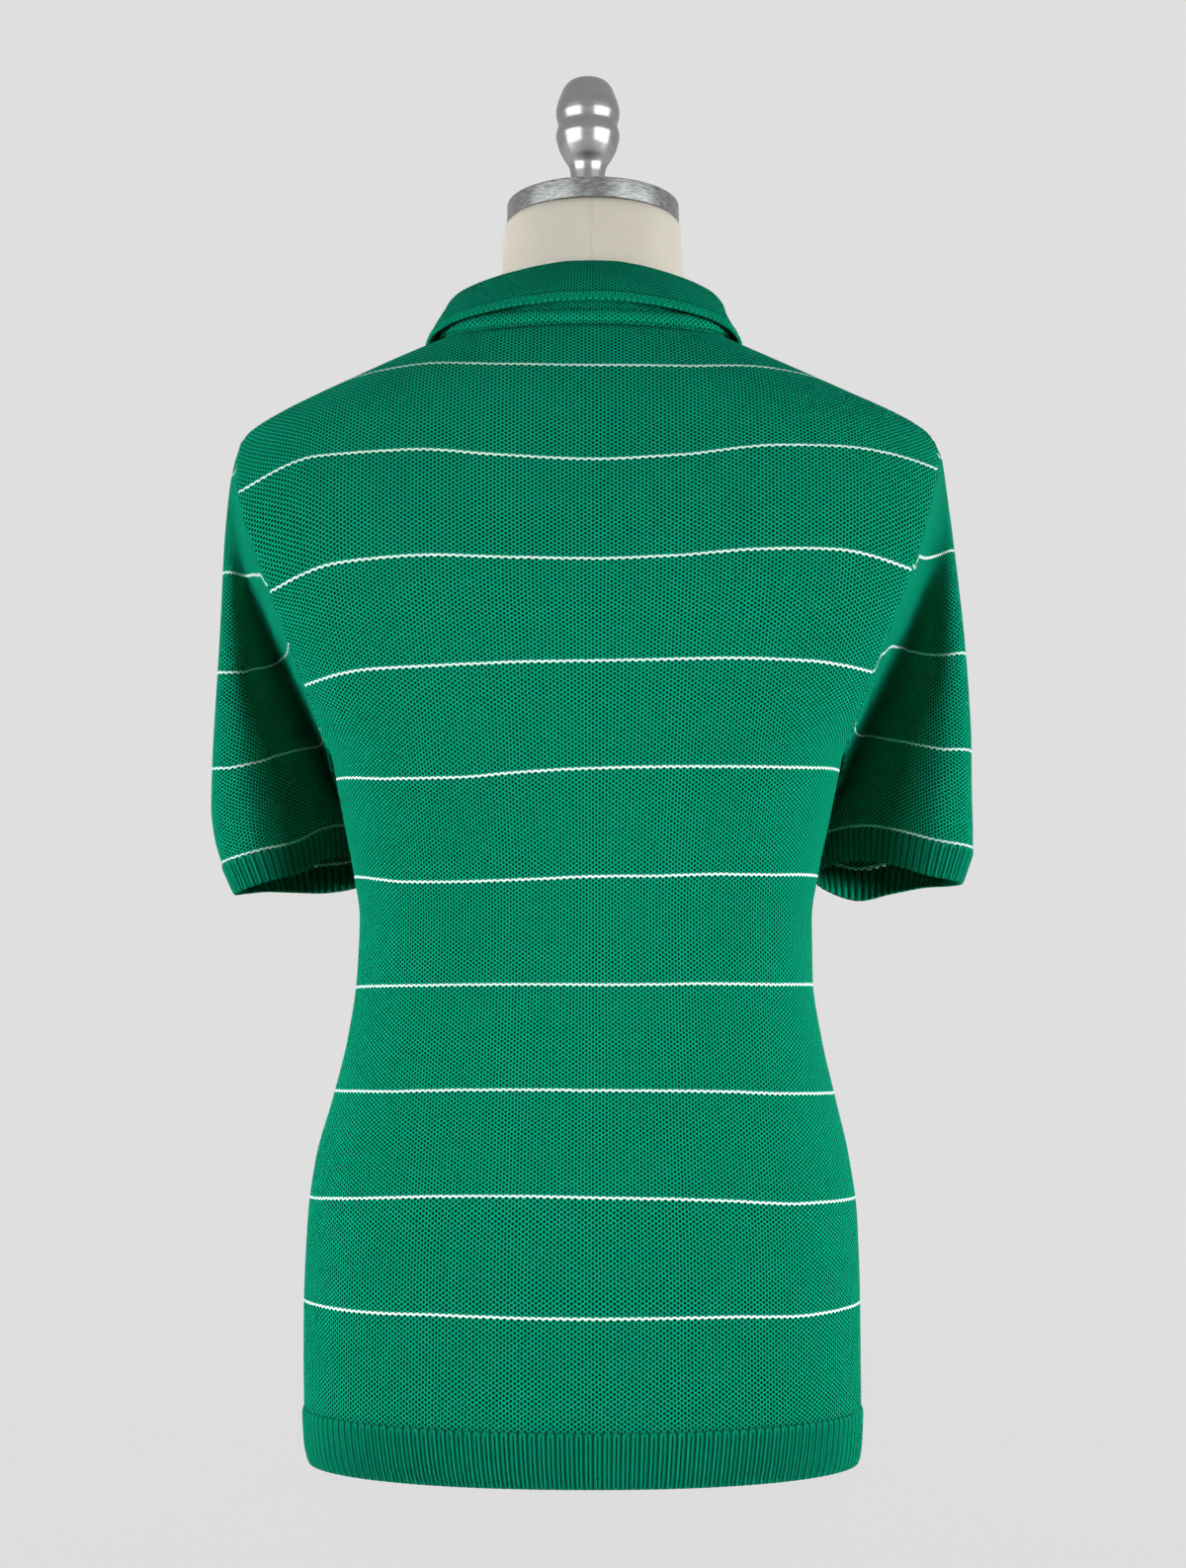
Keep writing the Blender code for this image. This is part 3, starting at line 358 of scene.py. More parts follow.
class Shade:
    # the nodes of a material, or of the world
    def __init__(self, owner):
        self.owner = owner
        owner.use_nodes = True
        self.tree = owner.node_tree
        self.tree.nodes.clear()

    def add(self, kind, settings=None, sockets=None, out=0):
        node = self.tree.nodes.new(kind)
        for key, value in (settings or {}).items():
            setattr(node, key, value)
        for key, value in (sockets or {}).items():
            socket = node.inputs[key]
            if isinstance(value, Value):
                self.tree.links.new(value.socket, socket)
            elif isinstance(value, tuple) and len(value) < len(socket.default_value):
                socket.default_value = (*value, 1)
            else:
                socket.default_value = value
        return Value(self, node.outputs[out]) if node.outputs else None

    def step(self, value, low, high):
        # 0 below low, 1 above high, smooth between
        return self.add("ShaderNodeMapRange", {"interpolation_type": "SMOOTHSTEP"},
                        {"Value": value, "From Min": low, "From Max": high})

    def mix(self, factor, a, b):
        return self.add("ShaderNodeMix", {"data_type": "RGBA"}, {0: factor, 6: a, 7: b}, out=2)

    def parts(self, vector):
        node = self.add("ShaderNodeSeparateXYZ", {}, {0: vector}).socket.node
        return [Value(self, output) for output in node.outputs]

    def uv(self):
        return self.parts(self.add("ShaderNodeTexCoord", out="UV"))[:2]

    def place(self):
        return self.add("ShaderNodeTexCoord", out="Object")

    def noise(self, vector, scale, detail=2.0, roughness=0.5):
        return self.add("ShaderNodeTexNoise", {},
                        {"Vector": vector, "Scale": scale, "Detail": detail, "Roughness": roughness})

    def grain(self, x, y, z=0.0, detail=2.0, roughness=0.5):
        vector = self.add("ShaderNodeCombineXYZ", {}, {0: x, 1: y, 2: z})
        return self.noise(vector, 1.0, detail, roughness)

    def surface(self, bump, strength, distance, **sockets):
        sockets = {key.replace("_", " "): value for key, value in sockets.items()}
        sockets["Normal"] = self.add("ShaderNodeBump", {},
                                     {"Strength": strength, "Distance": distance, "Height": bump})
        shader = self.add("ShaderNodeBsdfPrincipled", {}, sockets)
        self.add("ShaderNodeOutputMaterial", {}, {0: shader})
        return self.owner


def newFinish(name):
    return Shade(bpy.data.materials.new(name))


# what every knitted piece shares
knitSheen = {"Specular_IOR_Level": 0.02, "Sheen_Weight": 0.2, "Sheen_Roughness": 0.45,
             "Sheen_Tint": (0.03, 1.0, 0.62)}

meshLook = {
    "yarn": (0.0010, 0.335, 0.182),
    "yarnLight": (0.0020, 0.490, 0.268),
    # painted shade: the near-black colour of the shade inside the pores
    "shadedPore": (0.0002, 0.018, 0.009),
    "poreInner": 0.150,       # in widths of one repeat
    "poreOuter": 0.285,
    "poreFray": 0.06,
    "repeatTall": 0.66,       # height of a repeat for its width
    "sway": (0.22, 0.18),     # how far the repeats wander across and up
    "stripes": True,
    "stripe": (0.90, 1.00, 0.95),
    "stripeShade": (0.62, 0.92, 0.82),
    "thread": (0.19, 0.33),   # the stripe's half-width, in rows
    "zigzag": 0.34,
    # painted highlight and painted shade: the doubled edge is painted lighter, a painted highlight on its
    # roll, and the sunk line above it is painted dark with shade
    "edge": 0.0,              # rows in a doubled edge, which is lighter, with a sunk line above it
    "edgeHighlight": 0.3,
    "edgeShadeLine": 0.6,
    "rough": 0.88,
    "bump": (0.9, 0.0007),
}


def meshKnit(name, **changes):
    # staggered pores between yarns, their dark colour painted shade in the holes; u counts repeats across,
    # v counts rows up
    look = dict(meshLook, **changes)
    s = newFinish(name)
    u, v = s.uv()
    swayAcross, swayUp = look["sway"]
    u = u + (s.grain(u * 0.35, v * 0.35) - 0.5) * swayAcross
    v = v + (s.grain(u * 0.31, v * 0.27, 4.0) - 0.5) * swayUp

    def hole(shift):
        a = (u + shift).math("FRACT") - 0.5
        b = ((v + shift).math("FRACT") - 0.5) * look["repeatTall"]
        return (a * a + b * b).math("SQRT")

    near = hole(0.0).math("MINIMUM", hole(0.5))
    fuzz = s.grain(u * 7.0, v * 5.0, detail=3.0, roughness=0.6)
    fray = (fuzz - 0.5) * look["poreFray"]
    # where the pores lie; their colour is painted shade, and they are also sunk in the bump
    shadedPore = 1 - s.step(near + fray, look["poreInner"], look["poreOuter"])
    # the yarn is lighter where two loops cross between the pores
    crest = ((u * (4 * math.pi)).math("COSINE") * (v * (2 * math.pi)).math("COSINE")) * 0.5 + 0.5
    tone = s.grain(u * 0.02, v * 0.03, 9.0, detail=3.0, roughness=0.6)
    lightness = (crest * 0.5 + fuzz * 0.5 + (tone - 0.5) * 0.5).math("MAXIMUM", 0.0)
    colour = s.mix(shadedPore, s.mix(lightness, look["yarn"], look["yarnLight"]), look["shadedPore"])
    height = (1 - shadedPore) + fuzz * 0.25 + crest * 0.15
    if look["edge"]:
        # painted highlight on the doubled edge's roll, then painted shade along the sunk line above it
        highlightBand = 1 - s.step(v, look["edge"] - 0.2, look["edge"] + 0.05)
        line = 1 - s.step((v - look["edge"] - 0.2).math("ABSOLUTE"), 0.10, 0.34)
        colour = s.mix(highlightBand * look["edgeHighlight"], colour, look["yarnLight"])
        colour = s.mix(line * look["edgeShadeLine"], colour, look["shadedPore"])
        height = height - line * 0.8
    if look["stripes"]:
        count = shirt["rowsPerStripe"]
        zigzag = ((u * 2).math("PINGPONG", 1.0) - 0.5) * look["zigzag"]
        offset = ((v / count).math("FRACT") - 0.5) * count - zigzag
        thread = 1 - s.step(offset.math("ABSOLUTE"), *look["thread"])
        tuft = s.grain(u * 6.0, v * 2.0, 2.0)
        colour = s.mix(thread, colour, s.mix(tuft, look["stripe"], look["stripeShade"]))
        height = height * (1 - thread) + thread * (1.25 + tuft * 0.3)
    return s.surface(height, *look["bump"], Base_Color=colour, Roughness=look["rough"], **knitSheen)


ribLook = {
    "yarn": (0.0008, 0.190, 0.103),
    "yarnLight": (0.0016, 0.290, 0.160),
    # painted shade: the dark colour painted into the grooves between the ribs, where shade falls
    "groove": (0.0002, 0.026, 0.013),
    "grooveAt": (0.27, 0.44),  # from a rib's middle, in ribs
    "grooveDark": 0.9,
    "stitchesPerMm": 0.72,
    "stitchLean": 1.3,
    "rough": 0.86,
    "bump": (0.5, 0.0004),
}


def ribKnit(name, **changes):
    # u counts ribs, v is the distance along them in millimetres
    look = dict(ribLook, **changes)
    s = newFinish(name)
    u, v = s.uv()
    across = u.fromHalf()
    stitch = (v * look["stitchesPerMm"] + across * look["stitchLean"]).fromHalf() * 2
    fuzz = s.grain(u * 6.0, v * 1.5, detail=3.0, roughness=0.6)
    tone = s.grain(u * 0.12, v * 0.03, 3.0)
    lightness = fuzz * 0.55 + (1 - stitch) * 0.25 + (tone - 0.5) * 0.5
    colour = s.mix(lightness, look["yarn"], look["yarnLight"])
    # painted shade: the grooves between the ribs are darkened toward the groove colour
    if look["grooveDark"]:
        deep = s.step(across, *look["grooveAt"])
        colour = s.mix(deep * look["grooveDark"], colour, look["groove"])
    height = fuzz * 0.4 + (1 - stitch) * 0.6
    return s.surface(height, *look["bump"], Base_Color=colour, Roughness=look["rough"], **knitSheen)


formLook = {
    "cover": (0.71, 0.68, 0.585),
    "coverDark": (0.62, 0.58, 0.49),
    "coverSeam": (0.42, 0.37, 0.28),
    "seamAt": 0.001,          # the cover's seam, to the left of the middle
    "seamHalf": (0.0004, 0.0013),
    "blotch": (22.0, 4.0, 0.6),      # scale, detail and roughness of a noise
    "warp": 130.0,            # threads round the form, and up it
    "weft": 7500.0,
    "brushed": ((0.19, 0.20, 0.20), (0.52, 0.53, 0.53)),
    "scratch": (7.0, 2600.0),        # how fine, round the cap and across its scratches
    "brushedSmear": (60.0, 3.0, 0.6),
    "polished": ((0.33, 0.34, 0.33), (0.45, 0.46, 0.45)),
    "turning": 1800.0,
    "polishedSmear": (45.0, 4.0, 0.65),
}


def coverCloth():
    s = newFinish("Form cover")
    place = s.place()
    x, y, z = s.parts(place)
    warp = (y.math("ARCTAN2", x) * formLook["warp"]).math("SINE")
    weft = (z * formLook["weft"]).math("SINE")
    weave = warp * weft * 0.5 + 0.5
    blotch = s.noise(place, *formLook["blotch"])
    seam = 1 - s.step((x - formLook["seamAt"]).math("ABSOLUTE"), *formLook["seamHalf"])
    colour = s.mix(blotch * 0.8 + weave * 0.12, formLook["cover"], formLook["coverDark"])
    colour = s.mix(seam * 0.15, colour, formLook["coverSeam"])
    return s.surface(weave * 0.4 + blotch - seam * 2.0, 0.35, 0.0004, Base_Color=colour,
                     Roughness=0.8, Specular_IOR_Level=0.3)


def brushedSteel():
    # fine scratches round the cap's side and its faces
    s = newFinish("Brushed steel")
    place = s.place()
    x, y, z = s.parts(place)
    run = z + (x * x + y * y).math("SQRT")
    fineRound, fineAcross = formLook["scratch"]
    scratch = s.grain(y.math("ARCTAN2", x) * fineRound, run * fineAcross, roughness=0.7)
    dash = s.step(scratch, 0.42, 0.62)
    smear = s.noise(place, *formLook["brushedSmear"])
    colour = s.mix(dash * 0.9 + smear * 0.1, *formLook["brushed"])
    return s.surface(scratch, 0.5, 0.0004, Base_Color=colour, Metallic=1.0,
                     Roughness=dash * 0.08 + 0.25)


def polishedSteel():
    # faint turning lines under a smeared polish
    s = newFinish("Polished steel")
    place = s.place()
    z = s.parts(place)[2]
    turning = s.grain(0.0, 0.0, z * formLook["turning"])
    smear = s.noise(place, *formLook["polishedSmear"])
    colour = s.mix(smear, *formLook["polished"])
    return s.surface(turning * 0.5 + smear, 0.10, 0.0004, Base_Color=colour, Metallic=1.0,
                     Roughness=smear * 0.10 + 0.20)


buttonLook = {
    "resin": ((0.004, 0.13, 0.072), (0.012, 0.20, 0.115)),
    "swirl": (260.0, 3.0, 0.6),
    "thread": ((0.002, 0.12, 0.065), (0.006, 0.27, 0.15)),
}


def buttonResin():
    s = newFinish("Button resin")
    swirl = s.noise(s.place(), *buttonLook["swirl"])
    colour = s.mix(swirl, *buttonLook["resin"])
    return s.surface(swirl, 0.08, 0.0002, Base_Color=colour, Roughness=0.3 + swirl * 0.12,
                     Coat_Weight=0.25)


def sewingThread():
    s = newFinish("Sewing thread")
    u, v = s.uv()
    twist = (u * 3 + v * 14).fromHalf() * 2
    colour = s.mix(twist, *buttonLook["thread"])
    return s.surface(twist, 0.5, 0.0002, Base_Color=colour, Roughness=0.8)


meshMaterial = meshKnit("Mesh knit")
collarMaterial = meshKnit("Collar knit", yarn=(0.0008, 0.235, 0.127), yarnLight=(0.0016, 0.360, 0.197),
                          poreInner=0.13, poreOuter=0.27, stripes=False, edge=1.9)
# painted highlight: the binding's copy of the knit has lighter yarn than the collar's, so its raised ridge
# reads as lit
bindingKnitPaintedLighter = meshKnit("Binding knit", yarn=(0.0009, 0.27, 0.147), yarnLight=(0.0018, 0.41, 0.225),
                           poreInner=0.11, poreOuter=0.24, stripes=False)
ribMaterial = ribKnit("Rib knit")
# painted light: the hem's copy of the rib knit has lighter yarn than the cuffs', as the hem is more lit
# than the cuffs
hemRibPaintedLighter = ribKnit("Hem rib", yarn=(0.0009, 0.205, 0.111), yarnLight=(0.0018, 0.330, 0.181))
bandMaterial = ribKnit("Band knit", grooveDark=0.0)
coverMaterial = coverCloth()
capMaterial = brushedSteel()
finialMaterial = polishedSteel()
buttonMaterial = buttonResin()
threadMaterial = sewingThread()
print("finishes made")


panels = {
    "perColumn": 4,
    "lowRows": 88,
    "highRows": 62,
    "foot": 0.0333,
    # soft troughs, and ridges with a minus: face, start x and height, end x and height, half-width, depth
    "creases": [
        (1, 0.150, 0.395, 0.095, 0.350, 0.016, 0.0016),
        (1, -0.140, 0.405, -0.090, 0.352, 0.017, 0.0014),
        (1, 0.205, 0.560, 0.150, 0.480, 0.018, -0.0012),
        (1, -0.200, 0.570, -0.150, 0.490, 0.018, -0.0012),
        (1, 0.060, 0.300, 0.135, 0.285, 0.014, 0.0010),
        (1, -0.050, 0.265, -0.125, 0.290, 0.014, 0.0010),
        (-1, 0.150, 0.405, 0.085, 0.370, 0.016, 0.0020),
        (-1, -0.145, 0.400, -0.080, 0.375, 0.016, 0.0018),
        (-1, 0.175, 0.520, 0.110, 0.470, 0.020, -0.0016),
        (-1, -0.170, 0.530, -0.115, 0.470, 0.020, -0.0016),
        (-1, 0.030, 0.440, 0.075, 0.300, 0.020, -0.0012),
        (-1, -0.025, 0.450, -0.080, 0.290, 0.020, -0.0012),
    ],
    # slow unevenness of hanging cloth: waves across and up for each metre, and their start
    "waves": [(31.0, 17.0, 0.3), (-23.0, 29.0, 1.7), (47.0, -11.0, 4.1), (13.0, 41.0, 2.6)],
    "waveHigh": 0.00022,
    "calmSide": 0.018,        # seams stay where they are, and creases grow over this far from them
    "calmFoot": 0.02,
    "calmTop": (0.66, 0.03),
}


def softCreases(points, normals, face):
    x = points[..., 0]
    z = points[..., 2]
    rise = np.zeros_like(x)
    for side, x0, z0, x1, z1, half, depth in panels["creases"]:
        if side != face:
            continue
        length = math.hypot(x1 - x0, z1 - z0)
        alongX = (x1 - x0) / length
        alongZ = (z1 - z0) / length
        t = (x - x0) * alongX + (z - z0) * alongZ
        away = np.abs((x - x0) * alongZ - (z - z0) * alongX)
        past = np.maximum(0, np.maximum(-t, t - length))
        rise -= depth * np.exp(-(away / half) ** 2 - (past / (1.4 * half)) ** 2)
    for a, b, phase in panels["waves"]:
        rise += panels["waveHigh"] * np.sin(a * x + b * z + phase + face)
    calmHeight, calmOver = panels["calmTop"]
    calm = np.clip((edgeX(z, x >= 0) - np.abs(x)) / panels["calmSide"], 0, 1)
    calm = calm * np.clip((z - panels["foot"]) / panels["calmFoot"], 0, 1)
    calm = calm * np.clip((calmHeight - z) / calmOver, 0, 1)
    return points + normals * (rise * calm)[..., None]


def panelPoints(face):
    numbers = np.linspace(-edgeColumn, edgeColumn, 2 * edgeColumn * panels["perColumn"] + 1)
    lowHeights = np.linspace(panels["foot"], shirt["underarm"], panels["lowRows"] + 1)[:, None]
    low = bodyPoint(columnX(numbers[None, :], lowHeights), lowHeights, face)
    share = 1 - (1 - np.linspace(0, 1, 400)) ** 3
    heights = shirt["underarm"] + (columnTop(numbers, face) - shirt["underarm"])[None, :] * share[:, None]
    fine = bodyPoint(columnX(numbers[None, :], heights), heights, face)
    high = evenSteps(fine, panels["highRows"] + 1)
    points = np.concatenate([low, high[1:]])
    # side seams and shoulder seams stand half a seam apart
    points[:panels["lowRows"] + 1, [0, -1], 1] = face * shirt["seam"] / 2
    points[-1, np.abs(numbers) >= neckColumn, 1] = face * shirt["seam"] / 2
    return points


def courseAt(table, points):
    # which white course a place lies on, counted up from the hem
    x = points[..., 0]
    height = points[..., 2]
    place = np.clip(x / edgeX(height, x >= 0), -1, 1)
    return countCourses(height, [table.at(name, place) for name in table.columns if name != "place"])


def countCourses(height, levels):
    # how many courses up a height lies, whole at each level
    count = np.zeros_like(height)
    for k in range(len(levels) - 1):
        share = (height - levels[k]) / (levels[k + 1] - levels[k])
        low = 0 if k else -5
        high = 1 if k < len(levels) - 2 else 5
        count += np.clip(share, low, high)
    return count


def levelRun(points, face):
    # how far each place lies from the middle, measured level round the body
    x = points[..., 0]
    steps = np.linspace(0, 1, 41)[:, None, None]
    line = bodyPoint(x * steps, points[..., 2], face)
    return np.sign(x) * lineLength(line)


def knitUv(across, courses, lower=0.0):
    # repeats across and rows up; the white courses lie half-way, so half a step is added
    return np.stack([across, (courses + 0.5) * shirt["rowsPerStripe"] - lower], axis=-1)


# the front is cut down the middle from the neck, as wide as the placket's bands
slot = {"half": 0.016, "row": 4, "rowsAbove": 11}


def highShare(step):
    # heights between the underarm and the shoulder, closer together at both
    low, high = shirt["crowd"]
    return 1 - (1 - step) ** low / ((1 - step) ** low + step ** high)


def slotHeights():
    top = float(columnTop(np.array([0.0]), -1)[0])
    share = highShare(slot["row"] / slot["rowsAbove"])
    return shirt["underarm"] + (top - shirt["underarm"]) * share, top


def buildPanel(name, node, face):
    points = panelPoints(face)
    normals = gridNormals(points)
    normals *= np.sign(np.sum(normals[..., 1]) * face)
    points = softCreases(points, normals, face)
    across = levelRun(points, face) / knitPull.at("pair", points[..., 2])
    uv = knitUv(across, courseAt(backCourses if face > 0 else frontCourses, points))
    piece = clothPiece(name, points, uv, (0, face, 0))
    if face < 0:
        cutPlacketSlot(piece)
    finishPiece(piece, meshMaterial, "knit", node)


def cutPlacketSlot(piece):
    bm = bmesh.new()
    bm.from_mesh(piece.data)
    low = slotHeights()[0] + shirt["lift"]
    gone = []
    for face in bm.faces:
        middle = face.calc_center_median()
        if abs(middle.x) < slot["half"] and middle.z > low and middle.y < 0:
            gone.append(face)
    bmesh.ops.delete(bm, geom=gone, context="FACES")
    bm.to_mesh(piece.data)
    bm.free()


buildPanel("backCloth", "back", 1)
buildPanel("frontCloth", "front", -1)
print("body panels made")


placket = {
    "rows": 64,
    "columns": 16,
    "ribsPerMetre": 450,
    "lapDown": 0.004,
    "lapOut": 0.0026,
    "bands": {"under": (0.0157, 0.0003), "upper": (0.0168, 0.0018)},  # half-width, below the neck
    "roll": (0.0004, 0.0022, 0.0007),  # the edge's roll: height, place and half-width
}
buttonSize = {
    "radius": 0.0055,
    "thick": 0.0024,
    "heights": {"Top": 0.612, "Middle": 0.566, "Low": 0.520},
    "hole": 0.00062,
    "holeRing": 0.00165,
    # half of its section, in radii and thicknesses: dished middle and raised rim
    "section": [(0.0, 0.35), (0.45, 0.33), (0.62, 0.40), (0.74, 0.92), (0.86, 1.0), (0.96, 0.84),
                (1.0, 0.5), (0.94, 0.14), (0.82, 0.0), (0.0, 0.0)],
    "strand": 0.00017,
    "strandApart": 0.00036,
    "strandReach": 1.12,      # past the holes' middles
    "strandSunk": 0.10,       # below the button's middle, in thicknesses
    "strandEnd": 0.02,
    "strandArch": 0.00028,
}


def buildPlacketBand(layer):
    half, belowNeck = placket["bands"][layer]
    low, top = slotHeights()
    out = 0.0
    if layer == "under":
        low += belowNeck
    else:
        low -= placket["lapDown"]
        out = placket["lapOut"]
    heights = np.linspace(low, top - belowNeck, placket["rows"] + 1)[:, None]
    x = np.linspace(-half, half, placket["columns"] + 1)[None, :]
    points = bodyPoint(x, heights, -1)
    normals = bodyNormal(*np.broadcast_arrays(x, heights), -1)
    if layer == "upper":
        out = (out - hump(half - np.abs(x), *placket["roll"]))[..., None]
    points = points + normals * out
    uv = np.stack(np.broadcast_arrays(x * placket["ribsPerMetre"], heights * 1000), axis=-1)
    piece = clothPiece("placket" + layer.capitalize(), points, uv, (0, -1, 0))
    finishPiece(piece, bandMaterial, "knit", "placket_" + layer)
    return piece


def buildButton(label, height):
    size = buttonSize
    section = [(r * size["radius"], (h - 0.5) * size["thick"]) for r, h in size["section"]]
    button = spinPiece("button" + label, section, 48)
    bm = bmesh.new()
    for k in range(4):
        angle = math.pi / 4 + k * math.pi / 2
        made = bmesh.ops.create_cone(bm, cap_ends=True, segments=20, radius1=size["hole"],
                                     radius2=size["hole"], depth=0.01)
        away = (size["holeRing"] * math.cos(angle), size["holeRing"] * math.sin(angle), 0)
        bmesh.ops.translate(bm, verts=made["verts"], vec=away)
    drill = newObject("drill", bm)
    cut = button.modifiers.new("Holes", "BOOLEAN")
    cut.operation = "DIFFERENCE"
    cut.object = drill
    cut.solver = "EXACT"
    applyModifiers(button)
    bpy.data.objects.remove(drill)
    place = (np.array(0.0), np.array(height), -1)
    normal = Vector(bodyNormal(*place))
    out = shirt["wall"] + 4 * shirt["seam"] + size["thick"] / 2
    turn = Vector((0, 0, 1)).rotation_difference(normal).to_matrix().to_4x4()
    turn.translation = Vector(bodyPoint(*place)) + normal * out + Vector((0, 0, shirt["lift"]))
    button.data.transform(turn)
    finishPiece(button, buttonMaterial, "button", "button_" + label.lower())
    return [button, buildButtonThread(button.name + "Thread", turn)]


def applyModifiers(piece):
    graph = bpy.context.evaluated_depsgraph_get()
    finished = bpy.data.meshes.new_from_object(piece.evaluated_get(graph))
    piece.modifiers.clear()
    piece.data = finished


def buildButtonThread(name, place):
    # two pairs of strands across the holes, sunk in the dish between their ends
    size = buttonSize
    bm = bmesh.new()
    ring = size["holeRing"] * math.sqrt(0.5)
    for shift in (-1, 1):
        for strand in (-0.5, 0.5):
            line = []
            for t in np.linspace(-1.0, 1.0, 9):
                sink = size["strandEnd"] if abs(t) > 0.9 else -size["strandSunk"]
                line.append((t * ring * size["strandReach"], shift * ring + strand * size["strandApart"],
                             size["thick"] * sink + size["strandArch"] * (1 - t * t)))
            tube(bm, line, size["strand"], 8)
    thread = newObject(name, bm)
    thread.data.transform(place)
    finishPiece(thread, threadMaterial, "knit")
    return thread


def tube(bm, line, radius, sidesRound):
    # a round strand along a line of points
    uvLayer = bm.loops.layers.uv.verify()
    points = [Vector(point) for point in line]
    rings = []
    for k, point in enumerate(points):
        along = (points[min(k + 1, len(points) - 1)] - points[max(k - 1, 0)]).normalized()
        turn = Vector((0, 0, 1)).rotation_difference(along).to_matrix().to_4x4()
        turn.translation = point
        made = bmesh.ops.create_circle(bm, segments=sidesRound, radius=radius, matrix=turn)
        rings.append(made["verts"])
    for k in range(len(rings) - 1):
        for j in range(sidesRound):
            after = (j + 1) % sidesRound
            face = bm.faces.new([rings[k][j], rings[k][after], rings[k + 1][after], rings[k + 1][j]])
            face.smooth = True
            for loop, (a, b) in zip(face.loops, ((j, k), (j + 1, k), (j + 1, k + 1), (j, k + 1))):
                loop[uvLayer].uv = (a / sidesRound, b / 4)
    bm.faces.new(rings[0][::-1])
    bm.faces.new(rings[-1])


underBand = buildPlacketBand("under")
upperBand = buildPlacketBand("upper")
for label, height in buttonSize["heights"].items():
    buildButton(label, height)
print("placket and buttons made")


ribs = {
    "pitch": 0.0054,
    "raise": 0.0009,
    "groove": 0.0006,
    "grooveHalf": 0.13,       # in ribs
    "perRib": 10,
    "hemHeight": 0.033,
    "hemRows": 18,
    "hemFade": (14, 0.25, 9),
    "cuffRows": 14,
    "cuffFade": (10, 0.30, 8),
}


def ribRise(count):
    # one rib's height at each of its points: wide round crest, narrow groove
    t = np.arange(count) / ribs["perRib"]
    away = np.abs(t - np.round(t))
    crest = 1 - hump(away, 1, 0, ribs["grooveHalf"])
    return (ribs["raise"] + ribs["groove"]) * crest - ribs["groove"]


def ribFade(step, upper, start, lower):
    # the ribs run out at both edges of a band into one plain course
    return min(1.0, (1 - step) * upper, start + step * lower)


def levelHalf(height, face, count):
    # points at equal steps round the back or the front at one height, right side to left
    angle = np.linspace(math.pi, 0, 2401)
    power = 2 / depths.at("square", height)
    left = np.cos(angle) >= 0
    wide = halfWidth(np.full(len(angle), height), left, face)
    x = np.where(left, 1, -1) * wide * np.abs(np.cos(angle)) ** power
    y = face * depthAt(height, face) * np.abs(np.sin(angle)) ** power
    return evenLine(np.stack([x, y], axis=-1), count)


def levelOut(line, centre):
    along = np.gradient(line, axis=0)
    out = unit(np.stack([along[:, 1], -along[:, 0]], axis=-1))
    return out * np.sign(np.sum(out * (line - centre)))


def ribCount(length):
    # points across a band of whole ribs
    return round(length / ribs["pitch"]) * ribs["perRib"] + 1


def bandPiece(name, points, tall, material, node, outward, ring=False):
    # u counts ribs, v is the distance along them in millimetres
    rows, across = points.shape[:2]
    u = np.arange(across) / ribs["perRib"] + 0.5
    v = np.linspace(0, tall, rows)[:, None]
    piece = clothPiece(name, points, np.stack(np.broadcast_arrays(u, v), axis=-1), outward, ring)
    finishPiece(piece, material, "rib", node)
    return piece


def buildHem(name, node, face):
    across = ribCount(lineLength(levelHalf(ribs["hemHeight"], face, 400)))
    rise = ribRise(across)
    grid = []
    for step in np.linspace(0, 1, ribs["hemRows"] + 1):
        height = step * ribs["hemHeight"]
        line = levelHalf(height, face, across)
        out = levelOut(line, np.zeros(2))
        out[[0, -1]] = [(np.sign(line[0, 0]), 0), (np.sign(line[-1, 0]), 0)]
        line = line + out * (rise * ribFade(step, *ribs["hemFade"]))[:, None]
        line[[0, -1], 1] = face * shirt["seam"] / 2
        grid.append(np.column_stack([line, np.full(across, height)]))
    piece = bandPiece(name, np.array(grid), 33, hemRibPaintedLighter, node, (0, face, 0))


buildHem("hemBack", "hem_back", 1)
buildHem("hemFront", "hem_front", -1)

# the right sleeve's side is -1; ring is where the cuff joins its sleeve, outermost point first
cuffs = {
    "left": {
        "side": 1, "middle": (0.1920, -0.0400), "high": 0.0182, "narrow": 0.90, "shift": 0.0035,
        "ring": [
            (0.2365, -0.0120, 0.3668), (0.2300, 0.0095, 0.3682), (0.2100, 0.0140, 0.3740),
            (0.1900, -0.0045, 0.3805), (0.1735, -0.0250, 0.3910), (0.1595, -0.0450, 0.3942),
            (0.1485, -0.0660, 0.3860), (0.1560, -0.0870, 0.3765), (0.1800, -0.0920, 0.3724),
            (0.2030, -0.0815, 0.3720), (0.2210, -0.0625, 0.3715), (0.2320, -0.0380, 0.3690)]},
    "right": {
        "side": -1, "middle": (0.1940, -0.0400), "high": 0.0208, "narrow": 0.90, "shift": 0.0022,
        "ring": [
            (0.2420, -0.0080, 0.3760), (0.2345, 0.0140, 0.3769), (0.2140, 0.0185, 0.3802),
            (0.1930, 0.0020, 0.3876), (0.1755, -0.0180, 0.3922), (0.1590, -0.0395, 0.3919),
            (0.1430, -0.0630, 0.3869), (0.1500, -0.0870, 0.3784), (0.1770, -0.0950, 0.3699),
            (0.2020, -0.0860, 0.3739), (0.2230, -0.0660, 0.3769), (0.2370, -0.0390, 0.3764)]},
}


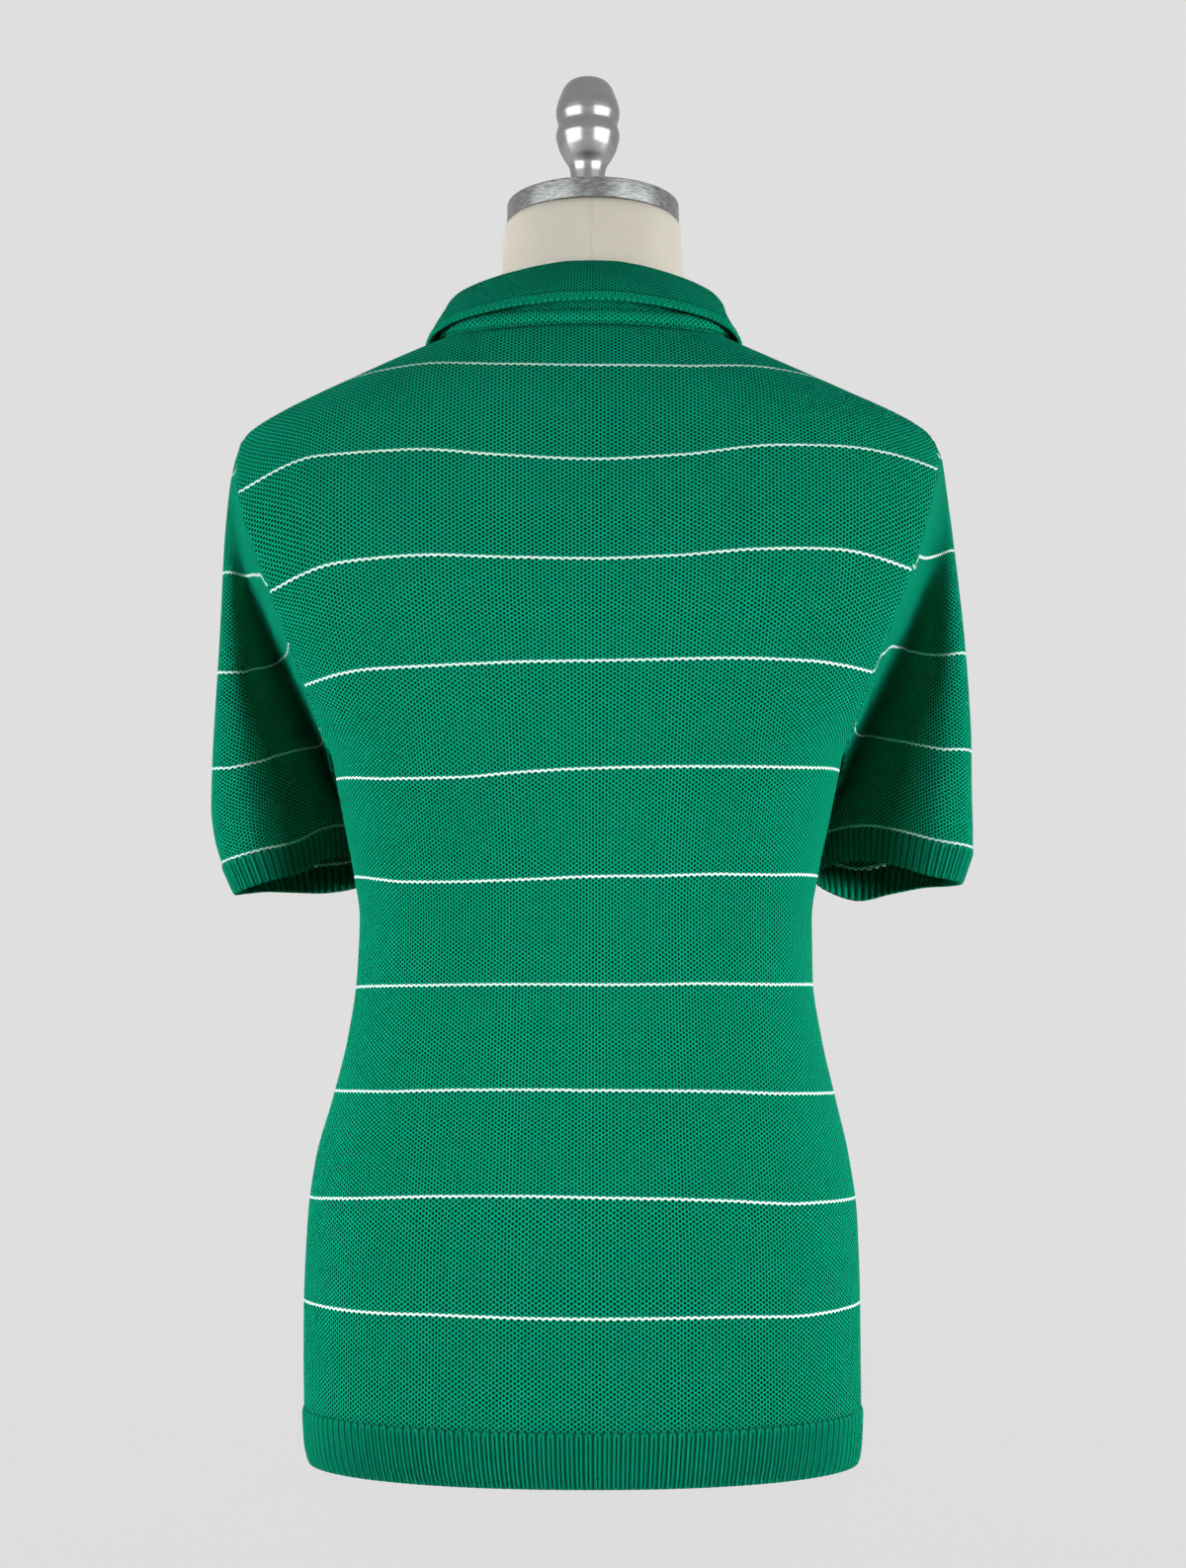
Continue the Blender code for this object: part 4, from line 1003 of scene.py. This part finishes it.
def roundThrough(places, turn):
    # a closed smooth curve through the places, the first at turn 0 and again at turn 1
    places = np.array(places)
    count = len(places)
    at = (turn * count) % count
    i = np.floor(at).astype(int) % count
    t = (at - np.floor(at))[:, None]
    a, b, c, d = (places[(i + k) % count] for k in (-1, 0, 1, 2))
    curve = 2 * b + (c - a) * t
    curve += (2 * a - 5 * b + 4 * c - d) * t ** 2 + (3 * b - a - 3 * c + d) * t ** 3
    return curve / 2


def cuffRing(size, angles, share):
    # share 0 is the cuff's lower edge and 1 its upper; angle 0 is its outermost point, pi / 2 its back
    top = roundThrough(size["ring"], angles / (2 * math.pi))
    low = top.copy()
    middle = np.array(size["middle"])
    low[:, :2] = middle + (top[:, :2] - middle) * size["narrow"]
    low[:, 0] -= size["shift"]
    low[:, 2] -= size["high"]
    ring = low + (top - low) * share
    ring[:, 0] *= size["side"]
    return ring


def awayFromArm(points, size):
    # level directions away from the middle of the cuff
    away = points - (size["side"] * size["middle"][0], size["middle"][1], 0)
    return away * (1, 1, 0)


def buildCuff(sideName):
    size = cuffs[sideName]
    label = sideName.capitalize()
    angles = np.linspace(-math.pi, math.pi, 2881)
    length = lineLength(cuffRing(size, angles, 1))
    across = ribCount(length)
    rise = ribRise(across)
    centre = np.array([size["side"] * size["middle"][0], size["middle"][1]])
    grid = []
    for step in np.linspace(0, 1, ribs["cuffRows"] + 1):
        line = evenLine(cuffRing(size, angles, step), across)
        wrapped = np.concatenate([line[-2:-1], line, line[1:2]])[:, :2]
        lift = rise * ribFade(step, *ribs["cuffFade"])
        line[:, :2] += levelOut(wrapped, centre)[1:-1] * lift[:, None]
        line[-1] = line[0]
        grid.append(line)
    points = np.array(grid)
    piece = bandPiece("cuff" + label, points, 20, ribMaterial, "cuff_" + sideName,
                      awayFromArm(points, size), ring=True)


sleeves = {
    "rows": 84,
    "columns": 144,
    "pair": 0.0041,
    "frontFold": 0.5,
    "fallForward": 9.0,
    "rowsLower": 0.4,
}
sleeveShape = Table("step outLeft outRight foldIn foldOut underOut underUp underFore", [
    (0, 0, 0, 0, 0, 0, 0, 0), (0.05, 5.5, 5.2, 5, 3, 2.2, 5, 2.5), (0.12, 8.8, 6.3, 9, 5, 4.2, 6, 7),
    (0.26, 10.4, 7.9, 12, 6, 5.5, 3, 11), (0.47, 10, 8.7, 9, 4.5, 5, 0, 10.5),
    (0.69, 10.3, 7, 4, 2.5, 4.2, 0, 5), (0.86, 9.3, 3.1, 1.5, 1, 2.4, 0, 1),
    (0.93, 6.3, 1.7, 0.5, 0, 1, 0, 0), (1, 0, 0, 0, 0, 0, 0, 0)], plain="step")

# height of the sleeves' white courses by the distance out from the body's middle
sleeveCourses = {
    "left": Table("out c1 c2 c3 c4", [
        (160, 451, 487, 528, 588), (182, 445.5, 495.5, 528.5, 590), (192, 441.1, 500, 529, 593),
        (199.7, 437, 501, 532.2, 596), (204.5, 434.5, 498.2, 539.5, 600), (207, 432.8, 496.6, 543, 602.5),
        (212, 430.6, 493.6, 546.7, 606), (217, 429, 491.1, 549.6, 609), (222, 427.7, 488, 550.6, 612),
        (232, 426.2, 487.3, 552, 614), (242, 427, 489, 552.7, 616)]),
    "right": Table("out c1 c2 c3 c4", [
        (160, 452, 478, 536, 596), (173.3, 452.5, 481.3, 538, 598.5), (178, 452.4, 492, 539.5, 600),
        (182.5, 451.2, 496.6, 541, 601), (187, 449.1, 502, 542.5, 603), (192, 447, 505.5, 543.5, 604.5),
        (199, 444.5, 506.8, 545, 608), (202, 443.1, 505.1, 553.3, 611), (207, 441.3, 503, 556.6, 614),
        (212, 439.7, 500.5, 559.2, 619), (222, 437.6, 498.1, 563.3, 624),
        (240, 438, 500.5, 569, 630)]),
}


def sleevePoints(size):
    side = size["side"]
    angles = np.linspace(-math.pi, math.pi, sleeves["columns"] + 1)
    share = highShare(1 - np.abs(angles) / math.pi)
    height = shirt["underarm"] + (shirt["shoulderTip"] - shirt["underarm"]) * share
    start = np.stack([side * (edgeX(height, np.full(len(angles), side > 0)) + shirt["seam"]),
                      np.sign(angles) * armholeReach(height), height], axis=-1)
    foot = cuffRing(size, angles, 1)
    foot[:, 2] += shirt["seam"]
    outer = np.maximum(np.cos(angles), 0) ** 2
    under = np.maximum(-np.cos(angles), 0) ** 2
    fold = np.sin(angles) ** 2
    turned = np.sign(np.sin(angles)) * np.where(np.sin(angles) >= 0, 1.0, sleeves["frontFold"])
    rear = np.maximum(np.sin(angles), 0)
    outName = "outLeft" if side > 0 else "outRight"
    grid = []
    for step in np.linspace(0, 1, sleeves["rows"] + 1):
        shape = {name: sleeveShape.at(name, step) for name in sleeveShape.columns}
        line = start * (1 - step) + foot * step
        # the back of the sleeve falls forward soon below the seam
        early = 1 - (1 - step) ** sleeves["fallForward"] - step
        soon = step + early * rear * (2 - rear)
        line[:, 1] = start[:, 1] * (1 - soon) + foot[:, 1] * soon
        line[:, 0] += side * (shape[outName] * outer + shape["foldOut"] * fold + shape["underOut"] * under)
        line[:, 1] -= shape["foldIn"] * turned * fold + shape["underFore"] * under
        line[:, 2] += shape["underUp"] * under
        grid.append(line)
    return np.array(grid)


def buildSleeve(sideName):
    size = cuffs[sideName]
    points = sleevePoints(size)
    table = sleeveCourses[sideName]
    out = np.abs(points[..., 0])
    levels = [table.at(name, out) for name in table.columns if name != "out"]
    courses = countCourses(points[..., 2], [points[-1, :, 2], *levels])
    uv = knitUv(runAcross(points) / sleeves["pair"], courses, sleeves["rowsLower"])
    piece = clothPiece("sleeve" + sideName.capitalize(), points, uv, awayFromArm(points, size), ring=True)
    finishPiece(piece, meshMaterial, "knit", "sleeve_" + sideName)


buildSleeve("left")
buildSleeve("right")
buildCuff("left")
buildCuff("right")
print("sleeves, cuffs and hem made")


# the collar at stations from the middle of the back to its front corner
collarShape = Table("station foldX foldY foldZ edgeX edgeY edgeZ", [
    (0, 0, 75.5, 736, 0, 94.5, 706), (1, 14.5, 75, 735.7, 17.5, 93.8, 705.6),
    (2, 30.5, 72, 734.3, 36.8, 90.5, 704.6), (3, 49, 65, 732.3, 58.2, 82.5, 703.5),
    (4, 71.5, 48.5, 730.3, 83.8, 65, 702.2), (5, 85.6, 30, 729, 98.5, 45, 700.8),
    (6, 91.8, 13.5, 726.4, 105.8, 22, 700.5), (7, 93.6, -2, 723.6, 108.6, -1, 700.5),
    (8, 91.2, -23, 717.8, 110.5, -27, 697.3), (9, 87, -44, 708.5, 111, -53, 686),
    (10, 77.5, -64, 695.5, 103, -77, 665), (11, 57, -84.5, 676.5, 87, -97.5, 638.5),
    (12, 37, -94.5, 663, 72, -108, 618.5), (13, 18, -99, 654.5, 59, -114.5, 603),
    (14, 3.5, -100.5, 650.5, 49, -117.5, 594)], plain="station")
collarSize = {
    "end": 14,
    "perStation": 7,
    "lineRows": (9, 13, 15),  # up the stand, over the fold and down the leaf
    "rows": 56,
    "narrowFrom": 10,         # from here to the end, the right side widens to the left's size
    "leafClear": 0.0045,
    "bulge": 0.0025,
    "foldHalf": 0.0026,
    "foldDrop": 0.0034,
    "foldRound": 0.72,
    "footUp": 0.0003,
    "pair": 0.0039,
    "row": 0.0024,
    "nearMiddle": 0.0022,
    "beside": (6.5, 1.8),     # the station beside the neck, and how many it spreads over
    "leftHollow": 0.0028,
    "rightHollow": 0.0045,
    "standIn": 0.002,
    "roll": (0.00055, 0.0016, 0.0011),   # the linked edge: height, from the edge, half-width
    "dip": (-0.0004, 0.0038, 0.0006),
}
binding = {
    "ridge": 0.0118,          # how far up the stand the shares below reach
    "low": 0.12,
    "high": 0.78,
    "gap": 0.0008,
    "bulge": 0.0021,
    "arch": (0.06, 0.88, 0.8),
    "rows": 12,
    "wall": 0.0008,
    "beside": (0.8, 5.7, 2.0),  # how much taller it is beside the neck, at which station, how wide
}


def neckFeet():
    # the neck seam from the left front over the back to the right front, with each point's station
    end = collarSize["end"]
    half = np.linspace(end, 0, end * collarSize["perStation"] + 1)
    stations = np.concatenate([half, half[-2::-1]])
    signs = np.concatenate([np.ones(len(half)), -np.ones(len(half) - 1)])
    feet = []
    normals = []
    for station, sign in zip(stations, signs):
        face = 1 if station <= neckColumn else -1
        number = station if face > 0 else end - station
        x = float(columns.at("left" if sign > 0 else "right", number))
        x = max(x, collarSize["nearMiddle"] if face < 0 else 0.0)
        height = float(neckSeam.at("back" if face > 0 else "front", number))
        x = sign * min(x, float(halfWidth(np.array(height), sign > 0, face)) * 0.9995)
        feet.append(bodyPoint(np.array(x), np.array(height), face))
        normals.append(bodyNormal(np.array(x * 0.985), np.array(height - 0.0008), face))
    return stations, signs, np.array(feet), np.array(normals)


def collarLine(station, sign, foot, normal):
    # one line up the stand, over the fold and down the leaf
    size = collarSize
    at = {name: float(collarShape.at(name, station)) for name in collarShape.columns}
    narrow = 1.0
    if sign < 0:
        ratio = columns.at("right", neckColumn) / columns.at("left", neckColumn)
        start = size["narrowFrom"]
        narrow = ratio + (1 - ratio) * max(0.0, station - start) / (size["end"] - start)
    fold = np.array([sign * narrow * at["foldX"], at["foldY"], at["foldZ"]])
    edge = np.array([sign * narrow * at["edgeX"], at["edgeY"], at["edgeZ"]])
    if station > neckColumn:
        # the leaf's edge stays clear of the front
        place = (np.array(edge[0]), np.array(edge[2]), -1)
        out = bodyNormal(*place)
        edge = edge + out * max(0.0, size["leafClear"] - np.dot(edge - bodyPoint(*place), out))
    foot = foot - normal * shirt["wall"] / 2 + np.array([0, 0, size["footUp"]])
    level = unit((edge - fold) * (1, 1, 0))
    down = np.array([0, 0, -size["foldDrop"]])
    standTop = fold - level * size["foldHalf"] + down
    leafTop = fold + level * size["foldHalf"] + down
    out = unit(np.cross(np.cross(level, edge - leafTop), edge - leafTop))
    out = out * np.sign(np.dot(out, level))
    beside = hump(station, 1.0, *size["beside"])
    hollow = beside * size["rightHollow" if sign < 0 else "leftHollow"]
    crown = (leafTop + edge) / 2 + out * (size["bulge"] - hollow) * 2
    standRows, foldRows, leafRows = size["lineRows"]
    line = [foot + (standTop - foot) * t - level * (size["standIn"] * beside * 4 * t * (1 - t))
            for t in np.linspace(0, 1, standRows)]
    line += [fold + down - level * size["foldHalf"] * math.cos(a) - down * size["foldRound"] * math.sin(a)
             for a in np.linspace(0, math.pi, foldRows)[1:-1]]
    line += [leafTop * (1 - t) ** 2 + crown * 2 * t * (1 - t) + edge * t * t
             for t in np.linspace(0, 1, leafRows)]
    return np.array(line)


def buildCollar():
    stations, signs, feet, feetNormals = neckFeet()
    lines = [collarLine(*parts) for parts in zip(stations, signs, feet, feetNormals)]
    points = evenSteps(np.array(lines).transpose(1, 0, 2), collarSize["rows"] + 1)
    normals = gridNormals(points)
    if normals[3, points.shape[1] // 2, 1] < 0:
        normals = -normals
    # a rolled, linked edge round the leaf
    run = runAlong(points)
    left = run[-1] - run
    roll = hump(left, *collarSize["roll"]) + hump(left, *collarSize["dip"])
    points = points + normals * roll[..., None]
    share = run / run[-1]
    across = runAcross(points[:1]) * (1 - share) + runAcross(points[-1:]) * share
    uv = np.stack([across / collarSize["pair"], left / collarSize["row"]], axis=-1)
    piece = clothPiece("collarCloth", points, uv, normals, offset=0.0)
    finishPiece(piece, collarMaterial, "rib", "collar")
    return stations, points, normals, run


def buildBinding(stations, points, normals, run):
    # the raised tubular course round the foot of the stand
    size = binding
    outer = points + normals * shirt["wall"] / 2
    beside = 1 + hump(stations, *size["beside"])
    shares = np.linspace(0, 1, size["rows"] + 1)
    grid = np.empty((len(shares), len(stations), 3))
    for row, share in enumerate(shares):
        start, span, power = size["arch"]
        arch = math.sin(math.pi * (start + span * share)) ** power
        for k, wider in enumerate(beside):
            at = (size["low"] + (size["high"] - size["low"]) * share * wider) * size["ridge"]
            spot, way = (np.array([np.interp(at, run[:, k], line[:, k, axis]) for axis in range(3)])
                         for line in (outer, normals))
            grid[row, k] = spot + way * (size["gap"] + size["bulge"] * wider * arch)
    u = runAcross(grid[:1]) / collarSize["pair"]
    v = shares[:, None] * (size["high"] - size["low"]) * size["ridge"] / collarSize["row"]
    uv = np.stack(np.broadcast_arrays(u, v), axis=-1)
    piece = clothPiece("neckBinding", grid, uv, normals[:len(shares)], wall=size["wall"])
    finishPiece(piece, bindingKnitPaintedLighter, "rib", "neck_binding")


buildBinding(*buildCollar())
print("collar made")


form = {
    "segments": 144,
    "wall": 0.0029,
    "drop": 0.0025,
    "armFrom": 0.407,
    "armPlate": 0.009,
    "armRound": 0.004,
    "neckSquare": 2.05,
    "rings": (-0.004, 0.004, 0.03, 0.09, 0.15, 0.20, 0.25, 0.31, 0.36, 0.40, 0.435, 0.465, 0.50, 0.54,
              0.575, 0.602, 0.620, 0.631, 0.640, 0.648, 0.656, 0.664, 0.673, 0.681),
    "levels": ((-0.004, 0.60, 70), (0.60, 0.72, 50), (0.72, 0.77, 18), (0.772, 0.7839, 16)),
}
cap = {"radius": 0.056, "low": 0.7841, "high": 0.7975, "chamfer": 0.0011, "flat": 0.004,
       "spindle": 0.013, "segments": 160, "sharp": 50}
formInset = Table("height inset", [
    (-4, 26), (4, 21.5), (30, 17), (60, 12), (100, 9), (200, 6), (350, 5), (430, 8), (470, 7), (520, 4),
    (580, 3), (620, 3), (642, 2), (656, 0), (705, 0)])
formNeck = Table("height left right back front", [
    (689, 116.5, 104.5, 77, 58.5), (695.5, 98.5, 88, 72, 56), (702, 86, 78, 68, 55.5),
    (711, 75, 70, 64, 55.8), (724, 67, 64.5, 61, 56.5), (742, 61, 60, 58.8, 57.2),
    (760, 58.2, 58, 57.9, 57.7), (774, 58, 57.9, 57.9, 57.8), (779.5, 57.5, 57.5, 57.5, 57.5),
    (782.2, 56.6, 56.6, 56.6, 56.6), (783.9, 55.3, 55.3, 55.3, 55.3)])
finialSize = {"top": 0.8830, "aside": 0.0034, "crown": (0.004, 14), "rest": (0.0045, 90),
              "segments": 128, "sharp": 60}
# half of the finial's outline, by the distance below its top
finial = Table("below radius", [
    (0, 0), (0.3, 5.8), (1.2, 10.3), (3, 13.3), (6.8, 16.2), (11.8, 18.2), (16.8, 19.9), (21.8, 20.8),
    (25, 20.7), (28.2, 19.8), (31, 19.4), (34, 20), (36.8, 20.7), (39, 20.8), (43, 19.9), (46.5, 19),
    (50, 17.4), (53.5, 15.5), (56.5, 13.6), (59.5, 12.1), (64, 11.3), (85.5, 11)])


def formRing(height, angles):
    left = np.cos(angles) >= 0
    back = np.sin(angles) >= 0
    if height >= formNeck.key[0]:
        wide = np.where(left, formNeck.at("left", height), formNeck.at("right", height))
        deep = np.where(back, formNeck.at("back", height), formNeck.at("front", height))
        power = 2 / form["neckSquare"]
        x = wide * np.abs(np.cos(angles)) ** power
    else:
        inset = form["wall"] + formInset.at("inset", height)
        above = np.full(len(angles), max(height + form["drop"], 0.0))
        wide = np.where(back, halfWidth(above, left, 1), halfWidth(above, left, -1)) - inset
        deep = np.where(back, depthAt(above, 1), depthAt(above, -1)) - inset
        power = 2 / depths.at("square", above)
        x = wide * np.abs(np.cos(angles)) ** power
        if height > form["armFrom"]:
            # flattened behind the armholes
            limit = edgeX(np.full(len(angles), height), left) - form["armPlate"]
            x = -form["armRound"] * np.logaddexp(-x / form["armRound"], -limit / form["armRound"])
    y = np.where(back, 1, -1) * deep * np.abs(np.sin(angles)) ** power
    return np.stack([np.where(left, 1, -1) * x, y, np.full(len(angles), height)], axis=-1)


def buildForm():
    angles = np.linspace(0, 2 * math.pi, form["segments"] + 1)
    angles[-1] = 0.0
    keys = (*form["rings"], *formNeck.key)
    rings = np.array([formRing(height, angles) for height in keys])
    # a smooth curve through the rings
    heights = np.unique(np.concatenate([np.linspace(*level) for level in form["levels"]]))
    fine = np.empty((len(heights), len(angles), 3))
    for k in range(len(angles)):
        places = [(height, *ring[:2]) for height, ring in zip(keys, rings[:, k])]
        table = Table("height x y", places, plain="height x y")
        fine[:, k] = np.stack([table.at("x", heights), table.at("y", heights), heights], axis=-1)
    bm = gridMesh(fine)
    bmesh.ops.remove_doubles(bm, verts=bm.verts, dist=1e-6)
    rims = [edge for edge in bm.edges if edge.is_boundary]
    bmesh.ops.holes_fill(bm, edges=rims, sides=0)
    bmesh.ops.recalc_face_normals(bm, faces=bm.faces)
    for face in bm.faces:
        face.smooth = len(face.verts) < 5
    finishPiece(newObject("formTorso", bm), coverMaterial, "form_cloth", "form_torso")


def buildCap():
    radius, chamfer = cap["radius"], cap["chamfer"]
    high = cap["high"] - cap["low"]
    turns = np.linspace(0.3, math.pi / 2, 5)
    outline = [(0.0, 0.0), (radius - cap["flat"], 0.0), (radius - chamfer, 0.0)]
    outline += [(radius - chamfer * (1 - math.sin(a)), chamfer * (1 - math.cos(a))) for a in turns]
    outline += [(radius - chamfer * (1 - math.sin(a)), high - chamfer * (1 - math.cos(a)))
                for a in turns[::-1]]
    outline += [(radius - chamfer, high), (radius - cap["flat"], high), (cap["spindle"], high), (0.0, high)]
    piece = spinPiece("formCap", outline, cap["segments"], cap["low"] + shirt["lift"])
    piece.data.set_sharp_from_angle(angle=math.radians(cap["sharp"]))
    finishPiece(piece, capMaterial, "cap_metal", "form_cap")


def buildFinial():
    size = finialSize
    crownEnd, crownRows = size["crown"]
    restStart, restRows = size["rest"]
    below = np.concatenate([np.linspace(0, crownEnd, crownRows)[1:],
                            np.linspace(restStart, finial.key[-1], restRows)])
    outline = [(0.0, 0.0)] + [(float(finial.at("radius", d)), -float(d)) for d in below]
    outline.append((0.0, -float(finial.key[-1])))
    piece = spinPiece("formFinial", outline, size["segments"], size["top"] + shirt["lift"], size["aside"])
    piece.data.set_sharp_from_angle(angle=math.radians(size["sharp"]))
    finishPiece(piece, finialMaterial, "finial_metal", "form_finial")


buildForm()
buildCap()
buildFinial()
print("form made")


studio = {
    "backdrop": (0.738, 0.738, 0.738),
    "ambient": 0.045,
    "mirrored": 0.53,
    "floorRadius": 14.0,
    "floorGrey": (0.80, 0.80, 0.80),
    "floorGlow": 0.97,        # how much of the floor glows near the form; all of it does further off
    "floorFade": (0.5, 1.6),
    # pairs of lamps: the left one's place, its target, width and height, watts left and right, and
    # spread in degrees; the cards show only in the metal
    "soft": ((2.24, 1.06, 0.20), (0, 0, 0.28), (2.0, 0.36), (12.4, 13.1), 60),
    "card": ((1.72, 1.24, 0.66), (0, 0, 0.66), (2.4, 1.3), (25, 27), 180),
    "front": ((1.0, -2.5, 0.8), (0, 0, 0.42), (1.2, 1.2), (32, 32), 180),
}


def buildFloor():
    bm = bmesh.new()
    bmesh.ops.create_circle(bm, cap_ends=True, segments=96, radius=studio["floorRadius"])
    floor = newObject("studioFloor", bm)
    s = newFinish("Pale floor")
    x, y = s.parts(s.place())[:2]
    far = s.step((x * x + y * y).math("SQRT"), *studio["floorFade"])
    near = studio["floorGlow"]
    diffuse = s.add("ShaderNodeBsdfDiffuse", {}, {"Color": studio["floorGrey"]})
    glow = s.add("ShaderNodeEmission", {}, {"Color": studio["backdrop"], "Strength": 1.0})
    blend = s.add("ShaderNodeMixShader", {}, {0: far * (1 - near) + near, 1: diffuse, 2: glow})
    s.add("ShaderNodeOutputMaterial", {}, {0: blend})
    floor.data.materials.append(s.owner)
    floor.visible_diffuse = False


def buildWorld():
    # the backdrop as seen, the room as mirrored in the metal, and a little light from all round
    bpy.context.scene.world = bpy.data.worlds.new("Studio")
    s = Shade(bpy.context.scene.world)

    def glow(colour, strength):
        return s.add("ShaderNodeBackground", {}, {"Color": colour, "Strength": strength})

    def choose(ray, other, chosen):
        seenBy = s.add("ShaderNodeLightPath", out=ray)
        return s.add("ShaderNodeMixShader", {}, {0: seenBy, 1: other, 2: chosen})

    white = (1.0, 1.0, 1.0)
    room = choose("Is Glossy Ray", glow(white, studio["ambient"]), glow(white, studio["mirrored"]))
    shown = choose("Is Camera Ray", room, glow(studio["backdrop"], 1.0))
    s.add("ShaderNodeOutputWorld", {}, {0: shown})


def addLamps(kind):
    place, target, (wide, high), watts, spread = studio[kind]
    for label, side, power in (("Left", 1, watts[0]), ("Right", -1, watts[1])):
        data = bpy.data.lights.new(kind + label, "AREA")
        data.shape = "RECTANGLE"
        data.size = wide
        data.size_y = high
        data.energy = power
        data.spread = math.radians(spread)
        lamp = bpy.data.objects.new(kind + label, data)
        lamp.location = (side * place[0], *place[1:])
        lamp.rotation_euler = (Vector(target) - lamp.location).to_track_quat("-Z", "Y").to_euler()
        lamp.visible_glossy = kind == "card"
        lamp.visible_diffuse = kind != "card"
        bpy.context.scene.collection.objects.link(lamp)


buildFloor()
buildWorld()
for kind in ("soft", "card", "front"):
    addLamps(kind)

view = {"distance": 1.5, "height": 0.2619, "tiltUp": 6.11, "lens": 54.48, "sensor": 36, "reach": 60}
cameraData = bpy.data.cameras.new("camera")
cameraData.lens = view["lens"]
cameraData.sensor_width = view["sensor"]
cameraData.clip_end = view["reach"]
camera = bpy.data.objects.new("camera", cameraData)
camera.location = (0, view["distance"], view["height"])
camera.rotation_euler = (math.radians(90 + view["tiltUp"]), 0, math.pi)
bpy.context.scene.collection.objects.link(camera)
bpy.context.scene.camera = camera
bpy.context.scene.view_settings.view_transform = "Standard"
print("studio made")
